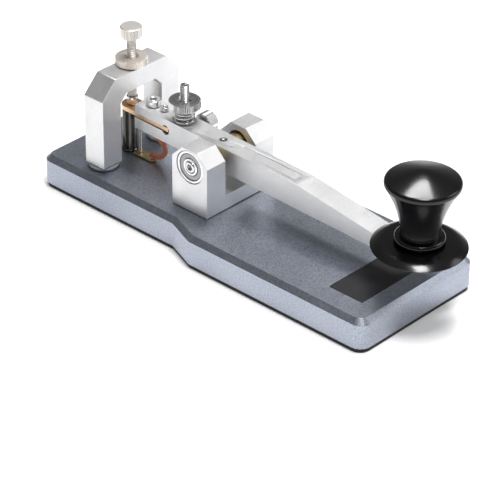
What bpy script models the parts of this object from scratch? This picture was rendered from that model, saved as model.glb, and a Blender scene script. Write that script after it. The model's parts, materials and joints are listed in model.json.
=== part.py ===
"""Straight morse key: an anodised base, a ball-bearing lever in a U yoke, a bridge that
carries the contact screw, a tension stud with its knurled nut, and a turned finger knob.

Metres, +Z up. +X is the operator's right, -Y is the knob end and +Y is the contact end. The
origin lies on the table, under the centre of the key's overall box.

Places are given in the base's own frame: X and Y from the centre of the base plate and Z from
the table. An empty, key_origin, then moves the whole key onto the origin. The pieces on the
lever are given in the lever's own frame, from the pivot axis, and an empty, lever_pivot, sets
the small angle at which the lever rests."""

import math

import bmesh
import bpy
from mathutils import Matrix, Vector

MM = 0.001

# Clearances
SEAT_GAP = 0.3 * MM  # between two pieces that rest on each other
FIT_GAP = 0.2 * MM  # all round a shaft, a shank or a ring in its hole
CUT_OVERRUN = 1.0 * MM  # how far a cutter reaches past the face it opens

# Roundness: facets round a full turn
FACETS_FINE = 36
FACETS_MEDIUM = 24
FACETS_SMALL = 16
MERGE_DISTANCE = 0.00001

# Mat and base plate
MAT_THICKNESS = 1.65 * MM
MAT_INSET = 0.5 * MM
BASE_LENGTH = 180.0 * MM
BASE_WIDTH_FRONT = 67.1 * MM
BASE_WIDTH_REAR = 56.1 * MM
BASE_THICKNESS = 12.6 * MM
BASE_CHAMFER = 2.2 * MM
BASE_CORNER_RADIUS = 5.0 * MM
CORNER_STEPS = 5
JOG_FRONT_Y = 0.4 * MM  # where the narrowing of the plate starts
JOG_LENGTH = 14.1 * MM  # how far it takes along Y

# Finger-rest inlay, let into the top of the plate
INLAY_WIDTH = 44.4 * MM
INLAY_LENGTH = 16.4 * MM
INLAY_THICKNESS = 0.8 * MM
INLAY_Y = -71.8 * MM

# Pocket and socket in the underside and rear of the plate
POCKET_WIDTH = 18.0 * MM
POCKET_DEPTH = 6.5 * MM
POCKET_FRONT_Y = 22.0 * MM
JACK_RADIUS = 4.0 * MM
JACK_LENGTH = 13.0 * MM
JACK_BORE_RADIUS = 1.8 * MM
JACK_BORE_DEPTH = 11.0 * MM
JACK_HEIGHT = 5.8 * MM  # above the plate's underside
JACK_RING_RADIUS = 5.0 * MM
JACK_RING_THICKNESS = 1.2 * MM
WIRE_RADIUS = 0.6 * MM

# Pivot yoke and its bearings
YOKE_Y = 13.4 * MM
YOKE_LENGTH = 19.1 * MM
YOKE_WIDTH = 38.6 * MM
YOKE_GAP = 17.4 * MM  # between the cheeks
YOKE_HEIGHT = 27.6 * MM
YOKE_FLOOR = 6.4 * MM
YOKE_CHAMFER = 5.4 * MM
PIVOT_HEIGHT = 34.7 * MM  # of the axis above the table
BEARING_RADIUS = 7.0 * MM
BEARING_WIDTH = 5.0 * MM
BEARING_RECESS = 0.35 * MM  # below the cheek's outer face
BEARING_RACE_WALL = 1.1 * MM
BEARING_SHIELD_THICKNESS = 0.5 * MM
BEARING_SHIELD_RECESS = 0.3 * MM
INNER_RACE_RADIUS = 3.7 * MM
BALL_CAGE_WALL = 1.2 * MM
AXLE_RADIUS = 2.5 * MM
AXLE_SOCKET_RADIUS = 1.45 * MM
AXLE_SOCKET_DEPTH = 2.0 * MM
SPACER_RADIUS = 4.3 * MM
SPACER_CLEARANCE = 0.9 * MM  # round the spacer in the cheek

# Fasteners from below
FASTENER_RADIUS = 2.0 * MM
FASTENER_HEAD_RADIUS = 3.5 * MM
FASTENER_HEAD_HEIGHT = 3.4 * MM
FASTENER_GRIP = 11.0 * MM  # how far a screw reaches into the piece it holds
SOCKET_RADIUS_SHARE = 0.5  # hexagon socket's radius as a share of the head's
SOCKET_DEPTH_SHARE = 0.55  # and its depth as a share of the head's height

# Contact bridge
BRIDGE_Y = 64.5 * MM
BRIDGE_DEPTH = 10.6 * MM
BRIDGE_WIDTH = 43.9 * MM
BRIDGE_LEG_WIDTH = 10.35 * MM
BRIDGE_HEIGHT = 38.6 * MM
BRIDGE_BEAM = 8.4 * MM
BRIDGE_OUTER_CHAMFER = 7.6 * MM
BRIDGE_INNER_CHAMFER = 3.4 * MM
WASHER_RADIUS = 6.3 * MM
WASHER_THICKNESS = 1.1 * MM
BUSH_WALL = 1.2 * MM
BUSH_LENGTH = 4.0 * MM

# Contact screw, its tip and its lock nut
CONTACT_SCREW_RADIUS = 1.95 * MM
CONTACT_HEAD_RADIUS = 4.45 * MM
CONTACT_HEAD_HEIGHT = 5.0 * MM
CONTACT_HEAD_CLEAR = 8.6 * MM  # head's underside above the lock nut
CONTACT_TIP_RADIUS = 2.45 * MM
CONTACT_TIP_THICKNESS = 1.2 * MM
CONTACT_GAP = 1.0 * MM  # the key's working gap, at rest
LOCK_NUT_RADIUS = 6.75 * MM
LOCK_NUT_THICKNESS = 3.3 * MM
NUT_SINK_RADIUS = 2.8 * MM
NUT_SINK_DEPTH = 0.9 * MM

# Lever, in its own frame
LEVER_REST_TILT = math.radians(1.25)
LEVER_WIDTH = 10.0 * MM
LEVER_TOP = 4.8 * MM
LEVER_BOTTOM = -6.0 * MM
LEVER_REAR = 44.7 * MM
LEVER_FRONT = -108.0 * MM
LEVER_TAPER_START = -44.5 * MM
LEVER_TAPER_END = -82.6 * MM
LEVER_SEAT = 0.4 * MM  # top of the thin front end, under the knob
BLADE_THICKNESS = 1.8 * MM
BLADE_WIDTH = 8.8 * MM
BLADE_HEIGHT = -0.1 * MM  # mid-plane of the blade and of its slot
SLOT_END = 27.4 * MM
SLOT_RELIEF_RADIUS = 2.1 * MM
TONGUE_RADIUS = 4.4 * MM
RIVET_RADIUS = 2.2 * MM
RIVET_HEIGHT = 1.2 * MM
CLAMP_SCREW_Y = 38.9 * MM
CLAMP_SCREW_RADIUS = 1.5 * MM
CLAMP_HEAD_RADIUS = 3.0 * MM
CLAMP_HEAD_HEIGHT = 2.6 * MM
SMALL_SCREW_Y = 32.6 * MM
SMALL_SCREW_RADIUS = 1.0 * MM
SMALL_HEAD_RADIUS = 1.8 * MM
SMALL_HEAD_HEIGHT = 1.4 * MM
SCREW_END = -4.2 * MM  # how far down the two clamp screws reach
SET_SCREW_RADIUS = 1.5 * MM
SET_SCREW_LENGTH = 1.8 * MM
SIDE_SCREW_Y = 17.3 * MM
SIDE_SCREW_HEIGHT = 2.2 * MM
SIDE_SCREW_RADIUS = 1.5 * MM
SIDE_SCREW_DEPTH = 2.6 * MM
SIDE_HEAD_RADIUS = 4.4 * MM
SIDE_HEAD_LENGTH = 5.4 * MM
SIDE_HEAD_CLEAR = 1.0 * MM

# Tension stud, spring and nut
STUD_Y = 34.6 * MM
STUD_RADIUS = 2.0 * MM
STUD_TOP = 56.4 * MM  # above the table
STUD_ROOT = 8.0 * MM  # how deep it stands in the plate
STUD_SLOT_WIDTH = 0.8 * MM
STUD_SLOT_DEPTH = 1.0 * MM
STUD_CLEARANCE = 0.7 * MM  # round the stud in the lever
SPRING_POCKET_RADIUS = 4.9 * MM
SPRING_POCKET_DEPTH = 0.6 * MM
SPRING_RADIUS = 3.85 * MM  # to the middle of the wire
SPRING_WIRE_RADIUS = 0.5 * MM
SPRING_TURNS = 2.5
SPRING_POINTS_PER_TURN = 12
SPRING_CAP_RADIUS = 4.5 * MM
SPRING_CAP_THICKNESS = 0.8 * MM
TENSION_NUT_RADIUS = 6.65 * MM
TENSION_NUT_THICKNESS = 3.7 * MM
TENSION_NUT_BOTTOM = 46.1 * MM  # above the table

# Rest post and wiring pieces on the plate
POST_Y = 66.2 * MM
POST_RADIUS = 3.0 * MM
POST_FOOT_RADIUS = 3.5 * MM
POST_FOOT_HEIGHT = 0.8 * MM
POST_SPIGOT_RADIUS = 1.5 * MM
POST_SPIGOT_LENGTH = 5.0 * MM
TAG_X = -0.5 * MM
TAG_WIDTH = 4.2 * MM
TAG_THICKNESS = 0.7 * MM
TAG_REAR_Y = 62.0 * MM
TAG_FRONT_Y = 50.4 * MM
PIN_Y = 60.0 * MM
PIN_RADIUS = 0.9 * MM
PIN_TOP = 30.0 * MM  # above the table
PIN_ROOT = 4.0 * MM
BRAID_RADIUS = 1.2 * MM
BRAID_ANCHOR_Y = 42.2 * MM  # in the lever's frame
BRAID_ANCHOR_DEPTH = 2.2 * MM

# Finger knob, in the lever's frame
KNOB_Y = -102.0 * MM
SKIRT_RADIUS = 18.75 * MM
SKIRT_BELOW = 0.6 * MM  # thickness under the widest line of the skirt
SKIRT_ABOVE = 2.1 * MM  # and above it
SKIRT_FLAT_RADIUS = 15.0 * MM
KNOB_RING_RADIUS = 10.0 * MM
KNOB_NECK_RADIUS = 7.9 * MM
KNOB_CAP_RADIUS = 14.85 * MM
KNOB_CAP_HEIGHT = 27.6 * MM  # of the cap's widest line above the skirt's
KNOB_HEIGHT = 32.9 * MM  # of the crown above the skirt's widest line
KNOB_RING_ROLL = 1.35 * MM  # radius of the ring's rounding
KNOB_RIM_BELOW = 0.9 * MM  # the cap's rim reaches this far below its widest line
KNOB_RIM_ABOVE = 1.2 * MM  # and this far above
KNOB_RIM_INSET = 0.25 * MM
FLARE_STEPS = 6
FLARE_POWER = 1.75  # how late the neck opens out into the cap
FLARE_FOOT = 2.0 * MM  # straight neck above the ring
KNOB_SCREW_RADIUS = 2.0 * MM
KNOB_SCREW_REACH = 12.0 * MM
KNOB_SCREW_HEAD_RADIUS = 3.4 * MM
KNOB_SCREW_HEAD_HEIGHT = 2.0 * MM

# Derived levels, above the table
PLATE_BOTTOM = MAT_THICKNESS + SEAT_GAP
PLATE_TOP = PLATE_BOTTOM + BASE_THICKNESS
PLATE_SEAT = PLATE_TOP + SEAT_GAP
SKIRT_LINE = LEVER_SEAT + SEAT_GAP + SKIRT_BELOW
KNOB_REACH = (
    -KNOB_Y * math.cos(LEVER_REST_TILT)
    + SKIRT_LINE * math.sin(LEVER_REST_TILT)
    + SKIRT_RADIUS * math.cos(LEVER_REST_TILT)
)
FRONT_REACH = max(KNOB_REACH - YOKE_Y, BASE_LENGTH / 2)
ORIGIN_SHIFT = (FRONT_REACH - BASE_LENGTH / 2) / 2

BLADE_TOP = BLADE_HEIGHT + BLADE_THICKNESS / 2
BRIDGE_SEAT = PLATE_SEAT + WASHER_THICKNESS + SEAT_GAP
BRIDGE_TOP = BRIDGE_SEAT + BRIDGE_HEIGHT
CONTACT_REACH = BRIDGE_Y - YOKE_Y
CHEEK_WIDTH = (YOKE_WIDTH - YOKE_GAP) / 2
BEARING_OUTER_X = YOKE_WIDTH / 2 - BEARING_RECESS
BEARING_INNER_X = BEARING_OUTER_X - BEARING_WIDTH

ALUMINIUM = ("satin_aluminium", (0.80, 0.80, 0.80), 0.32, 1.0)
ANODISED = ("blue_grey_anodise", (0.16, 0.19, 0.24), 0.5, 0.6)
STEEL = ("polished_steel", (0.72, 0.72, 0.72), 0.16, 1.0)
NICKEL = ("warm_nickel", (0.74, 0.68, 0.60), 0.25, 1.0)
BRASS = ("brass", (0.80, 0.60, 0.28), 0.25, 1.0)
COPPER = ("copper", (0.83, 0.46, 0.24), 0.28, 1.0)
BRAID = ("copper_braid", (0.52, 0.16, 0.08), 0.5, 0.8)
SILVER = ("contact_silver", (0.85, 0.85, 0.83), 0.2, 1.0)
RUBBER = ("black_rubber", (0.02, 0.02, 0.02), 0.85, 0.0)
GLOSS_BLACK = ("black_lacquer", (0.012, 0.012, 0.013), 0.2, 0.0)
INLAY = ("black_inlay", (0.025, 0.025, 0.028), 0.5, 0.0)
NYLON = ("clear_nylon", (0.46, 0.47, 0.48), 0.35, 0.0)
RED_PVC = ("red_insulation", (0.55, 0.03, 0.02), 0.4, 0.0)
BLACK_PVC = ("black_insulation", (0.02, 0.02, 0.02), 0.4, 0.0)


# ---------------------------------------------------------------- scene and helpers


def clear_scene():
    for old in list(bpy.data.objects):
        bpy.data.objects.remove(old, do_unlink=True)


def new_collection(name):
    made = bpy.data.collections.new(name)
    bpy.context.scene.collection.children.link(made)
    return made


def material(recipe):
    name, colour, roughness, metallic = recipe
    if name in bpy.data.materials:
        return bpy.data.materials[name]
    made = bpy.data.materials.new(name)
    made.use_nodes = True
    shader = made.node_tree.nodes["Principled BSDF"]
    shader.inputs["Base Color"].default_value = (*colour, 1.0)
    shader.inputs["Roughness"].default_value = roughness
    shader.inputs["Metallic"].default_value = metallic
    return made


def empty(name, parent, place, turn_x=0.0):
    made = bpy.data.objects.new(name, None)
    PARTS.objects.link(made)
    made.parent = parent
    made.location = place
    made.rotation_euler = (turn_x, 0.0, 0.0)
    return made


def add(name, mesh, parent, place=(0.0, 0.0, 0.0), turn=(0.0, 0.0, 0.0), recipe=None):
    """A new object from a mesh: a part if it has a material recipe, else a cutter."""
    made = bpy.data.objects.new(name, mesh)
    made.parent = parent
    made.location = place
    made.rotation_euler = turn
    if recipe is None:
        CUTTERS.objects.link(made)
        made.hide_render = True
        made.display_type = "WIRE"
        return made
    PARTS.objects.link(made)
    mesh.materials.append(material(recipe))
    return made


def box_mesh(name, size):
    """A box with its centre at the object's origin."""
    shape = bmesh.new()
    bmesh.ops.create_cube(shape, size=1.0)
    bmesh.ops.scale(shape, vec=Vector(size), verts=shape.verts)
    mesh = bpy.data.meshes.new(name)
    shape.to_mesh(mesh)
    shape.free()
    return mesh


def rod_mesh(name, radius, low, high, facets=FACETS_MEDIUM):
    """A cylinder round Z, from height low to height high, with a facet corner on each axis."""
    shape = bmesh.new()
    bmesh.ops.create_cone(
        shape,
        cap_ends=True,
        segments=facets,
        radius1=radius,
        radius2=radius,
        depth=high - low,
        matrix=Matrix.Translation((0.0, 0.0, (low + high) / 2)),
    )
    mesh = bpy.data.meshes.new(name)
    shape.to_mesh(mesh)
    shape.free()
    return mesh


def profile_mesh(name, points, closed=False):
    """An open or closed line of edges in the XZ plane, ready for a Screw modifier."""
    shape = bmesh.new()
    made = [shape.verts.new((radius, 0.0, height)) for radius, height in points]
    for first, second in zip(made, made[1:]):
        shape.edges.new((first, second))
    if closed:
        shape.edges.new((made[-1], made[0]))
    mesh = bpy.data.meshes.new(name)
    shape.to_mesh(mesh)
    shape.free()
    return mesh


def turned(name, points, parent, place, recipe=None, turn=(0, 0, 0), facets=FACETS_MEDIUM):
    """A turned piece. The points run down its outer side, then back up its bore if it has one."""
    closed = points[0][0] > 0.0
    made = add(name, profile_mesh(name, points, closed), parent, place, turn, recipe)
    screw = made.modifiers.new("turn", "SCREW")
    screw.steps = facets
    screw.render_steps = facets
    screw.use_merge_vertices = True
    screw.merge_threshold = MERGE_DISTANCE
    return made


def ring_profile(outer, inner, low, high):
    return [(outer, high), (outer, low), (inner, low), (inner, high)]


def outline_mesh(name, corners, low, high):
    """A flat outline in XY, filled and given the thickness from low to high, as a mesh."""
    curve = bpy.data.curves.new(name, "CURVE")
    curve.dimensions = "2D"
    curve.fill_mode = "BOTH"
    curve.extrude = (high - low) / 2
    line = curve.splines.new("POLY")
    line.points.add(len(corners) - 1)
    for point, (x, y) in zip(line.points, corners):
        point.co = (x, y, 0.0, 1.0)
    line.use_cyclic_u = True
    drawn = bpy.data.objects.new(name, curve)
    PARTS.objects.link(drawn)
    mesh = solid_from_curve(name, drawn)
    mesh.transform(Matrix.Translation((0.0, 0.0, (low + high) / 2)))
    return mesh


def solid_from_curve(name, drawn):
    """The curve's evaluated mesh, with its loose caps welded on. The curve is removed."""
    view = bpy.context.evaluated_depsgraph_get()
    mesh = bpy.data.meshes.new_from_object(drawn.evaluated_get(view))
    mesh.name = name
    shape = bmesh.new()
    shape.from_mesh(mesh)
    bmesh.ops.remove_doubles(shape, verts=shape.verts, dist=MERGE_DISTANCE)
    bmesh.ops.recalc_face_normals(shape, faces=shape.faces)
    shape.to_mesh(mesh)
    shape.free()
    bpy.data.objects.remove(drawn, do_unlink=True)
    return mesh


def tube_mesh(name, points, radius):
    """A round wire along the points, with filled ends."""
    curve = bpy.data.curves.new(name, "CURVE")
    curve.dimensions = "3D"
    curve.bevel_depth = radius
    curve.bevel_resolution = 2
    curve.use_fill_caps = True
    line = curve.splines.new("POLY")
    line.points.add(len(points) - 1)
    for point, place in zip(line.points, points):
        point.co = (*place, 1.0)
    drawn = bpy.data.objects.new(name, curve)
    PARTS.objects.link(drawn)
    return solid_from_curve(name, drawn)


def smooth_route(corners, steps):
    """Points on a smooth curve (Catmull-Rom) through the corners, steps to each span."""
    places = [Vector(corner) for corner in corners]
    padded = [2 * places[0] - places[1]] + places + [2 * places[-1] - places[-2]]
    route = []
    for first in range(len(places) - 1):
        before, start, end, after = padded[first : first + 4]
        for step in range(steps):
            t = step / steps
            route.append(
                0.5
                * (
                    2 * start
                    + (end - before) * t
                    + (2 * before - 5 * start + 4 * end - after) * t**2
                    + (3 * start - before - 3 * end + after) * t**3
                )
            )
    return route + [places[-1]]


def boolean(piece, other, operation):
    change = piece.modifiers.new(operation.lower(), "BOOLEAN")
    change.operation = operation
    change.object = other
    change.solver = "EXACT"


def cut(piece, cutter):
    boolean(piece, cutter, "DIFFERENCE")


def cut_hole(piece, parent, place, radius, low, high, turn=(0, 0, 0), facets=FACETS_MEDIUM):
    """A round hole along the local Z through place, from low to high."""
    name = f"cut_{piece.name}_{len(piece.modifiers)}"
    cut(piece, add(name, rod_mesh(name, radius, low, high, facets), parent, place, turn))


def cut_box(piece, parent, place, size):
    name = f"cut_{piece.name}_{len(piece.modifiers)}"
    cut(piece, add(name, box_mesh(name, size), parent, place))


def shade_round(pieces):
    for piece in pieces:
        if piece.type == "MESH":
            piece.data.shade_smooth()
            piece.data.set_sharp_from_angle(angle=math.radians(35.0))


def socket_head_screw(name, parent, place, shank, head, recipe, turn=(0, 0, 0)):
    """A screw standing on its head at local Z = 0, shank upwards, with a hexagon socket below.

    shank and head are each (radius, length)."""
    shank_radius, shank_length = shank
    head_radius, head_height = head
    top = head_height + shank_length
    points = [(0, top), (shank_radius, top), (shank_radius, head_height)]
    points += [(head_radius, head_height), (head_radius, 0), (0, 0)]
    made = turned(name, points, parent, place, recipe, turn, FACETS_SMALL)
    socket_radius = head_radius * SOCKET_RADIUS_SHARE
    depth = head_height * SOCKET_DEPTH_SHARE
    cut_hole(made, parent, place, socket_radius, -CUT_OVERRUN, depth, turn, 6)
    return made


# ---------------------------------------------------------------- mat and base plate


def plate_outline(inset):
    """Outline of the plate: wide in front, narrower behind the jog, with round corners."""
    front = BASE_WIDTH_FRONT / 2 - inset
    rear = BASE_WIDTH_REAR / 2 - inset
    end = BASE_LENGTH / 2 - inset
    radius = BASE_CORNER_RADIUS - inset
    slant = math.hypot(JOG_LENGTH, (BASE_WIDTH_FRONT - BASE_WIDTH_REAR) / 2)
    shift = inset * (slant - JOG_LENGTH) / ((BASE_WIDTH_FRONT - BASE_WIDTH_REAR) / 2)
    jog_front = JOG_FRONT_Y - shift
    jog_rear = JOG_FRONT_Y + JOG_LENGTH - shift
    right = []
    for centre_x, centre_y, start in (
        (front - radius, -end + radius, -90.0),
        (rear - radius, end - radius, 0.0),
    ):
        for step in range(CORNER_STEPS + 1):
            angle = math.radians(start + 90.0 * step / CORNER_STEPS)
            x = centre_x + radius * math.cos(angle)
            y = centre_y + radius * math.sin(angle)
            right.append((x, y))
        if start < 0.0:
            right += [(front, jog_front), (rear, jog_rear)]
    left = [(-x, y) for x, y in reversed(right)]
    return right + left


def chamfered_plate(name, low, high, recipe):
    """The plate as two lofted levels: straight sides up to the shoulder, then the chamfer."""
    shoulder = high - BASE_CHAMFER
    lower = plate_outline(0.0)
    upper = plate_outline(BASE_CHAMFER)
    shape = bmesh.new()
    rows = []
    for outline, height in ((lower, low), (lower, shoulder), (upper, high)):
        rows.append([shape.verts.new((x, y, height)) for x, y in outline])
    for under, over in zip(rows, rows[1:]):
        for place in range(len(under)):
            after = (place + 1) % len(under)
            shape.faces.new((under[place], under[after], over[after], over[place]))
    shape.faces.new(list(reversed(rows[0])))
    shape.faces.new(rows[-1])
    mesh = bpy.data.meshes.new(name)
    shape.to_mesh(mesh)
    shape.free()
    return add(name, mesh, ORIGIN, recipe=recipe)


def build_mat():
    mesh = outline_mesh("anti_slip_mat", plate_outline(MAT_INSET), 0.0, MAT_THICKNESS)
    add("anti_slip_mat", mesh, ORIGIN, recipe=RUBBER)


def build_base_plate():
    plate = chamfered_plate("base_plate", PLATE_BOTTOM, PLATE_TOP, ANODISED)
    inlay_size = (
        INLAY_WIDTH + 2 * FIT_GAP,
        INLAY_LENGTH + 2 * FIT_GAP,
        2 * (INLAY_THICKNESS + SEAT_GAP),
    )
    cut_box(plate, ORIGIN, (0.0, INLAY_Y, PLATE_TOP), inlay_size)

    pocket_rear = BASE_LENGTH / 2 - JACK_LENGTH + CUT_OVERRUN
    pocket_length = pocket_rear - POCKET_FRONT_Y
    pocket_place = (0.0, (pocket_rear + POCKET_FRONT_Y) / 2, PLATE_BOTTOM)
    cut_box(plate, ORIGIN, pocket_place, (POCKET_WIDTH, pocket_length, 2 * POCKET_DEPTH))
    jack_place = (0.0, BASE_LENGTH / 2, PLATE_BOTTOM + JACK_HEIGHT)
    along_y = (math.radians(90.0), 0.0, 0.0)
    for radius, depth in (
        (JACK_RADIUS, JACK_LENGTH + CUT_OVERRUN),
        (JACK_RING_RADIUS, JACK_RING_THICKNESS + SEAT_GAP),
    ):
        cut_hole(plate, ORIGIN, jack_place, radius + FIT_GAP, -CUT_OVERRUN, depth, along_y)

    head_depth = FASTENER_HEAD_HEIGHT + 2 * SEAT_GAP
    for x, y, hole in fastener_places():
        foot = (x, y, PLATE_BOTTOM)
        cut_hole(plate, ORIGIN, foot, hole, -CUT_OVERRUN, BASE_THICKNESS + CUT_OVERRUN)
        counterbore = FASTENER_HEAD_RADIUS + BUSH_WALL
        cut_hole(plate, ORIGIN, foot, counterbore, -CUT_OVERRUN, head_depth)

    stud_seat = PLATE_TOP - STUD_ROOT - SEAT_GAP
    for y, radius, x, bottom in (
        (STUD_Y, STUD_RADIUS, 0.0, stud_seat),
        (POST_Y, POST_SPIGOT_RADIUS, 0.0, PLATE_TOP - POST_SPIGOT_LENGTH - SEAT_GAP),
        (PIN_Y, PIN_RADIUS, TAG_X, PLATE_TOP - PIN_ROOT - SEAT_GAP),
    ):
        place = (x, y, bottom)
        reach = PLATE_TOP - bottom + CUT_OVERRUN
        cut_hole(plate, ORIGIN, place, radius + FIT_GAP, 0.0, reach, facets=FACETS_SMALL)
    shade_round([plate])


def fastener_places():
    """Where screws come up through the plate, and the radius of the hole for each."""
    cheek_x = YOKE_GAP / 2 + CHEEK_WIDTH / 2
    leg_x = BRIDGE_WIDTH / 2 - BRIDGE_LEG_WIDTH / 2
    plain = FASTENER_RADIUS + FIT_GAP
    bushed = FASTENER_RADIUS + FIT_GAP + BUSH_WALL + FIT_GAP
    places = []
    for side in (-1, 1):
        places.append((side * cheek_x, YOKE_Y, plain))
        places.append((side * leg_x, BRIDGE_Y, bushed))
    return places


def build_inlay():
    size = (INLAY_WIDTH, INLAY_LENGTH, INLAY_THICKNESS)
    place = (0.0, INLAY_Y, PLATE_TOP - INLAY_THICKNESS / 2)
    add("finger_rest_inlay", box_mesh("finger_rest_inlay", size), ORIGIN, place, recipe=INLAY)


def build_jack():
    """The key-lead socket, let into the rear of the plate, and the ring nut round its mouth."""
    place = (0.0, BASE_LENGTH / 2, PLATE_BOTTOM + JACK_HEIGHT)
    front = -(JACK_RING_THICKNESS + 2 * SEAT_GAP)
    points = [
        (JACK_RADIUS, front),
        (JACK_RADIUS, -JACK_LENGTH + SEAT_GAP),
        (0.0, -JACK_LENGTH + SEAT_GAP),
        (0.0, -JACK_BORE_DEPTH),
        (JACK_BORE_RADIUS, -JACK_BORE_DEPTH),
        (JACK_BORE_RADIUS, front),
    ]
    backwards = (math.radians(-90.0), 0.0, 0.0)
    turned("key_lead_socket", points, ORIGIN, place, BLACK_PVC, backwards, FACETS_SMALL)
    ring = ring_profile(JACK_RING_RADIUS, JACK_BORE_RADIUS, front + SEAT_GAP, -SEAT_GAP)
    turned("socket_ring_nut", ring, ORIGIN, place, NICKEL, backwards)


def build_wires():
    """Two wires in the pocket: one from the socket to the bridge side, one to the yoke side."""
    level = PLATE_BOTTOM + POCKET_DEPTH / 2
    socket_front = BASE_LENGTH / 2 - JACK_LENGTH - SEAT_GAP
    side = POCKET_WIDTH / 2 - 3 * WIRE_RADIUS
    near_jack = socket_front - 2 * SEAT_GAP
    routes = {
        "contact_wire": (
            RED_PVC,
            [
                (1.6 * MM, near_jack, level + 1.0 * MM),
                (2.2 * MM, near_jack - 4.0 * MM, level),
                (side, near_jack - 10.0 * MM, level - 0.6 * MM),
                (side, BRIDGE_Y - 14.0 * MM, level - 0.8 * MM),
            ],
        ),
        "lever_wire": (
            BLACK_PVC,
            [
                (-1.6 * MM, near_jack, level + 1.0 * MM),
                (-2.4 * MM, near_jack - 5.0 * MM, level),
                (-side, near_jack - 14.0 * MM, level - 0.6 * MM),
                (-side + 1.0 * MM, STUD_Y + 6.0 * MM, level - 0.8 * MM),
                (-side, POCKET_FRONT_Y + 3.0 * MM, level),
            ],
        ),
    }
    for name, (recipe, corners) in routes.items():
        route = smooth_route(corners, 5)
        add(name, tube_mesh(name, route, WIRE_RADIUS), ORIGIN, recipe=recipe)


# ---------------------------------------------------------------- yoke and bearings


def build_yoke():
    half = YOKE_LENGTH / 2
    side_view = [
        (-half, 0.0),
        (half, 0.0),
        (half, YOKE_HEIGHT - YOKE_CHAMFER),
        (half - YOKE_CHAMFER, YOKE_HEIGHT),
        (-half + YOKE_CHAMFER, YOKE_HEIGHT),
        (-half, YOKE_HEIGHT - YOKE_CHAMFER),
    ]
    mesh = outline_mesh("pivot_yoke", side_view, -YOKE_WIDTH / 2, YOKE_WIDTH / 2)
    upright = Matrix(((0, 0, 1, 0), (1, 0, 0, 0), (0, 1, 0, 0), (0, 0, 0, 1)))
    mesh.transform(upright)
    yoke = add("pivot_yoke", mesh, ORIGIN, (0.0, YOKE_Y, PLATE_SEAT), recipe=ALUMINIUM)
    gap_height = YOKE_HEIGHT - YOKE_FLOOR + CUT_OVERRUN
    gap_place = (0.0, YOKE_Y, PLATE_SEAT + YOKE_FLOOR + gap_height / 2)
    cut_box(yoke, ORIGIN, gap_place, (YOKE_GAP, YOKE_LENGTH + 2 * CUT_OVERRUN, gap_height))

    axis_place = (0.0, YOKE_Y, PIVOT_HEIGHT)
    along_x = (0.0, math.radians(90.0), 0.0)
    reach = YOKE_WIDTH / 2 + CUT_OVERRUN
    cut_hole(yoke, ORIGIN, axis_place, SPACER_RADIUS + SPACER_CLEARANCE, -reach, reach, along_x)
    seat = BEARING_INNER_X - SEAT_GAP
    for side in (-1, 1):
        low, high = sorted((side * seat, side * reach))
        cut_hole(yoke, ORIGIN, axis_place, BEARING_RADIUS + FIT_GAP, low, high, along_x, FACETS_FINE)
    cheek_x = YOKE_GAP / 2 + CHEEK_WIDTH / 2
    depth = FASTENER_GRIP + SEAT_GAP
    for side in (-1, 1):
        foot = (side * cheek_x, YOKE_Y, PLATE_SEAT)
        cut_hole(yoke, ORIGIN, foot, FASTENER_RADIUS + FIT_GAP, -CUT_OVERRUN, depth, facets=FACETS_SMALL)
    shade_round([yoke])


def build_bearing(word, side):
    """One shielded ball bearing, turned round the pivot axis: races, ball cage and shield."""
    place = (0.0, YOKE_Y, PIVOT_HEIGHT)
    outward = (0.0, side * math.radians(90.0), 0.0)
    low = BEARING_INNER_X
    high = BEARING_OUTER_X
    race_bore = BEARING_RADIUS - BEARING_RACE_WALL
    outer = ring_profile(BEARING_RADIUS, race_bore, low, high)
    turned(f"bearing_outer_race_{word}", outer, ORIGIN, place, STEEL, outward, FACETS_FINE)
    shield_high = high - BEARING_SHIELD_RECESS
    shield_low = shield_high - BEARING_SHIELD_THICKNESS
    shield = ring_profile(race_bore - FIT_GAP, INNER_RACE_RADIUS + FIT_GAP, shield_low, shield_high)
    turned(f"bearing_shield_{word}", shield, ORIGIN, place, STEEL, outward, FACETS_FINE)
    middle = (race_bore + INNER_RACE_RADIUS) / 2
    cage_high = shield_low - SEAT_GAP
    half_wall = min(BALL_CAGE_WALL / 2, (race_bore - INNER_RACE_RADIUS) / 2 - FIT_GAP)
    cage = ring_profile(middle + half_wall, middle - half_wall, low + SEAT_GAP, cage_high)
    turned(f"bearing_ball_cage_{word}", cage, ORIGIN, place, BRASS, outward)
    inner = ring_profile(INNER_RACE_RADIUS, AXLE_RADIUS + FIT_GAP, low, high)
    turned(f"bearing_inner_race_{word}", inner, LEVER, (0, 0, 0), STEEL, outward)


def build_axle():
    half = YOKE_WIDTH / 2
    along_x = (0.0, math.radians(90.0), 0.0)
    edge = 0.4 * MM
    points = [
        (0.0, half),
        (AXLE_RADIUS - edge, half),
        (AXLE_RADIUS, half - edge),
        (AXLE_RADIUS, -half + edge),
        (AXLE_RADIUS - edge, -half),
        (0.0, -half),
    ]
    axle = turned("pivot_axle", points, LEVER, (0, 0, 0), STEEL, along_x)
    for side in (-1, 1):
        mouth = side * (half + CUT_OVERRUN)
        low, high = sorted((mouth, side * (half - AXLE_SOCKET_DEPTH)))
        cut_hole(axle, LEVER, (0, 0, 0), AXLE_SOCKET_RADIUS, low, high, along_x, 6)


def build_spacer(word, side):
    outward = (0.0, side * math.radians(90.0), 0.0)
    low = LEVER_WIDTH / 2 + SEAT_GAP
    high = BEARING_INNER_X - SEAT_GAP
    ring = ring_profile(SPACER_RADIUS, AXLE_RADIUS + FIT_GAP, low, high)
    turned(f"axle_spacer_{word}", ring, LEVER, (0, 0, 0), BRASS, outward)


# ---------------------------------------------------------------- bridge and contact screw


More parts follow.
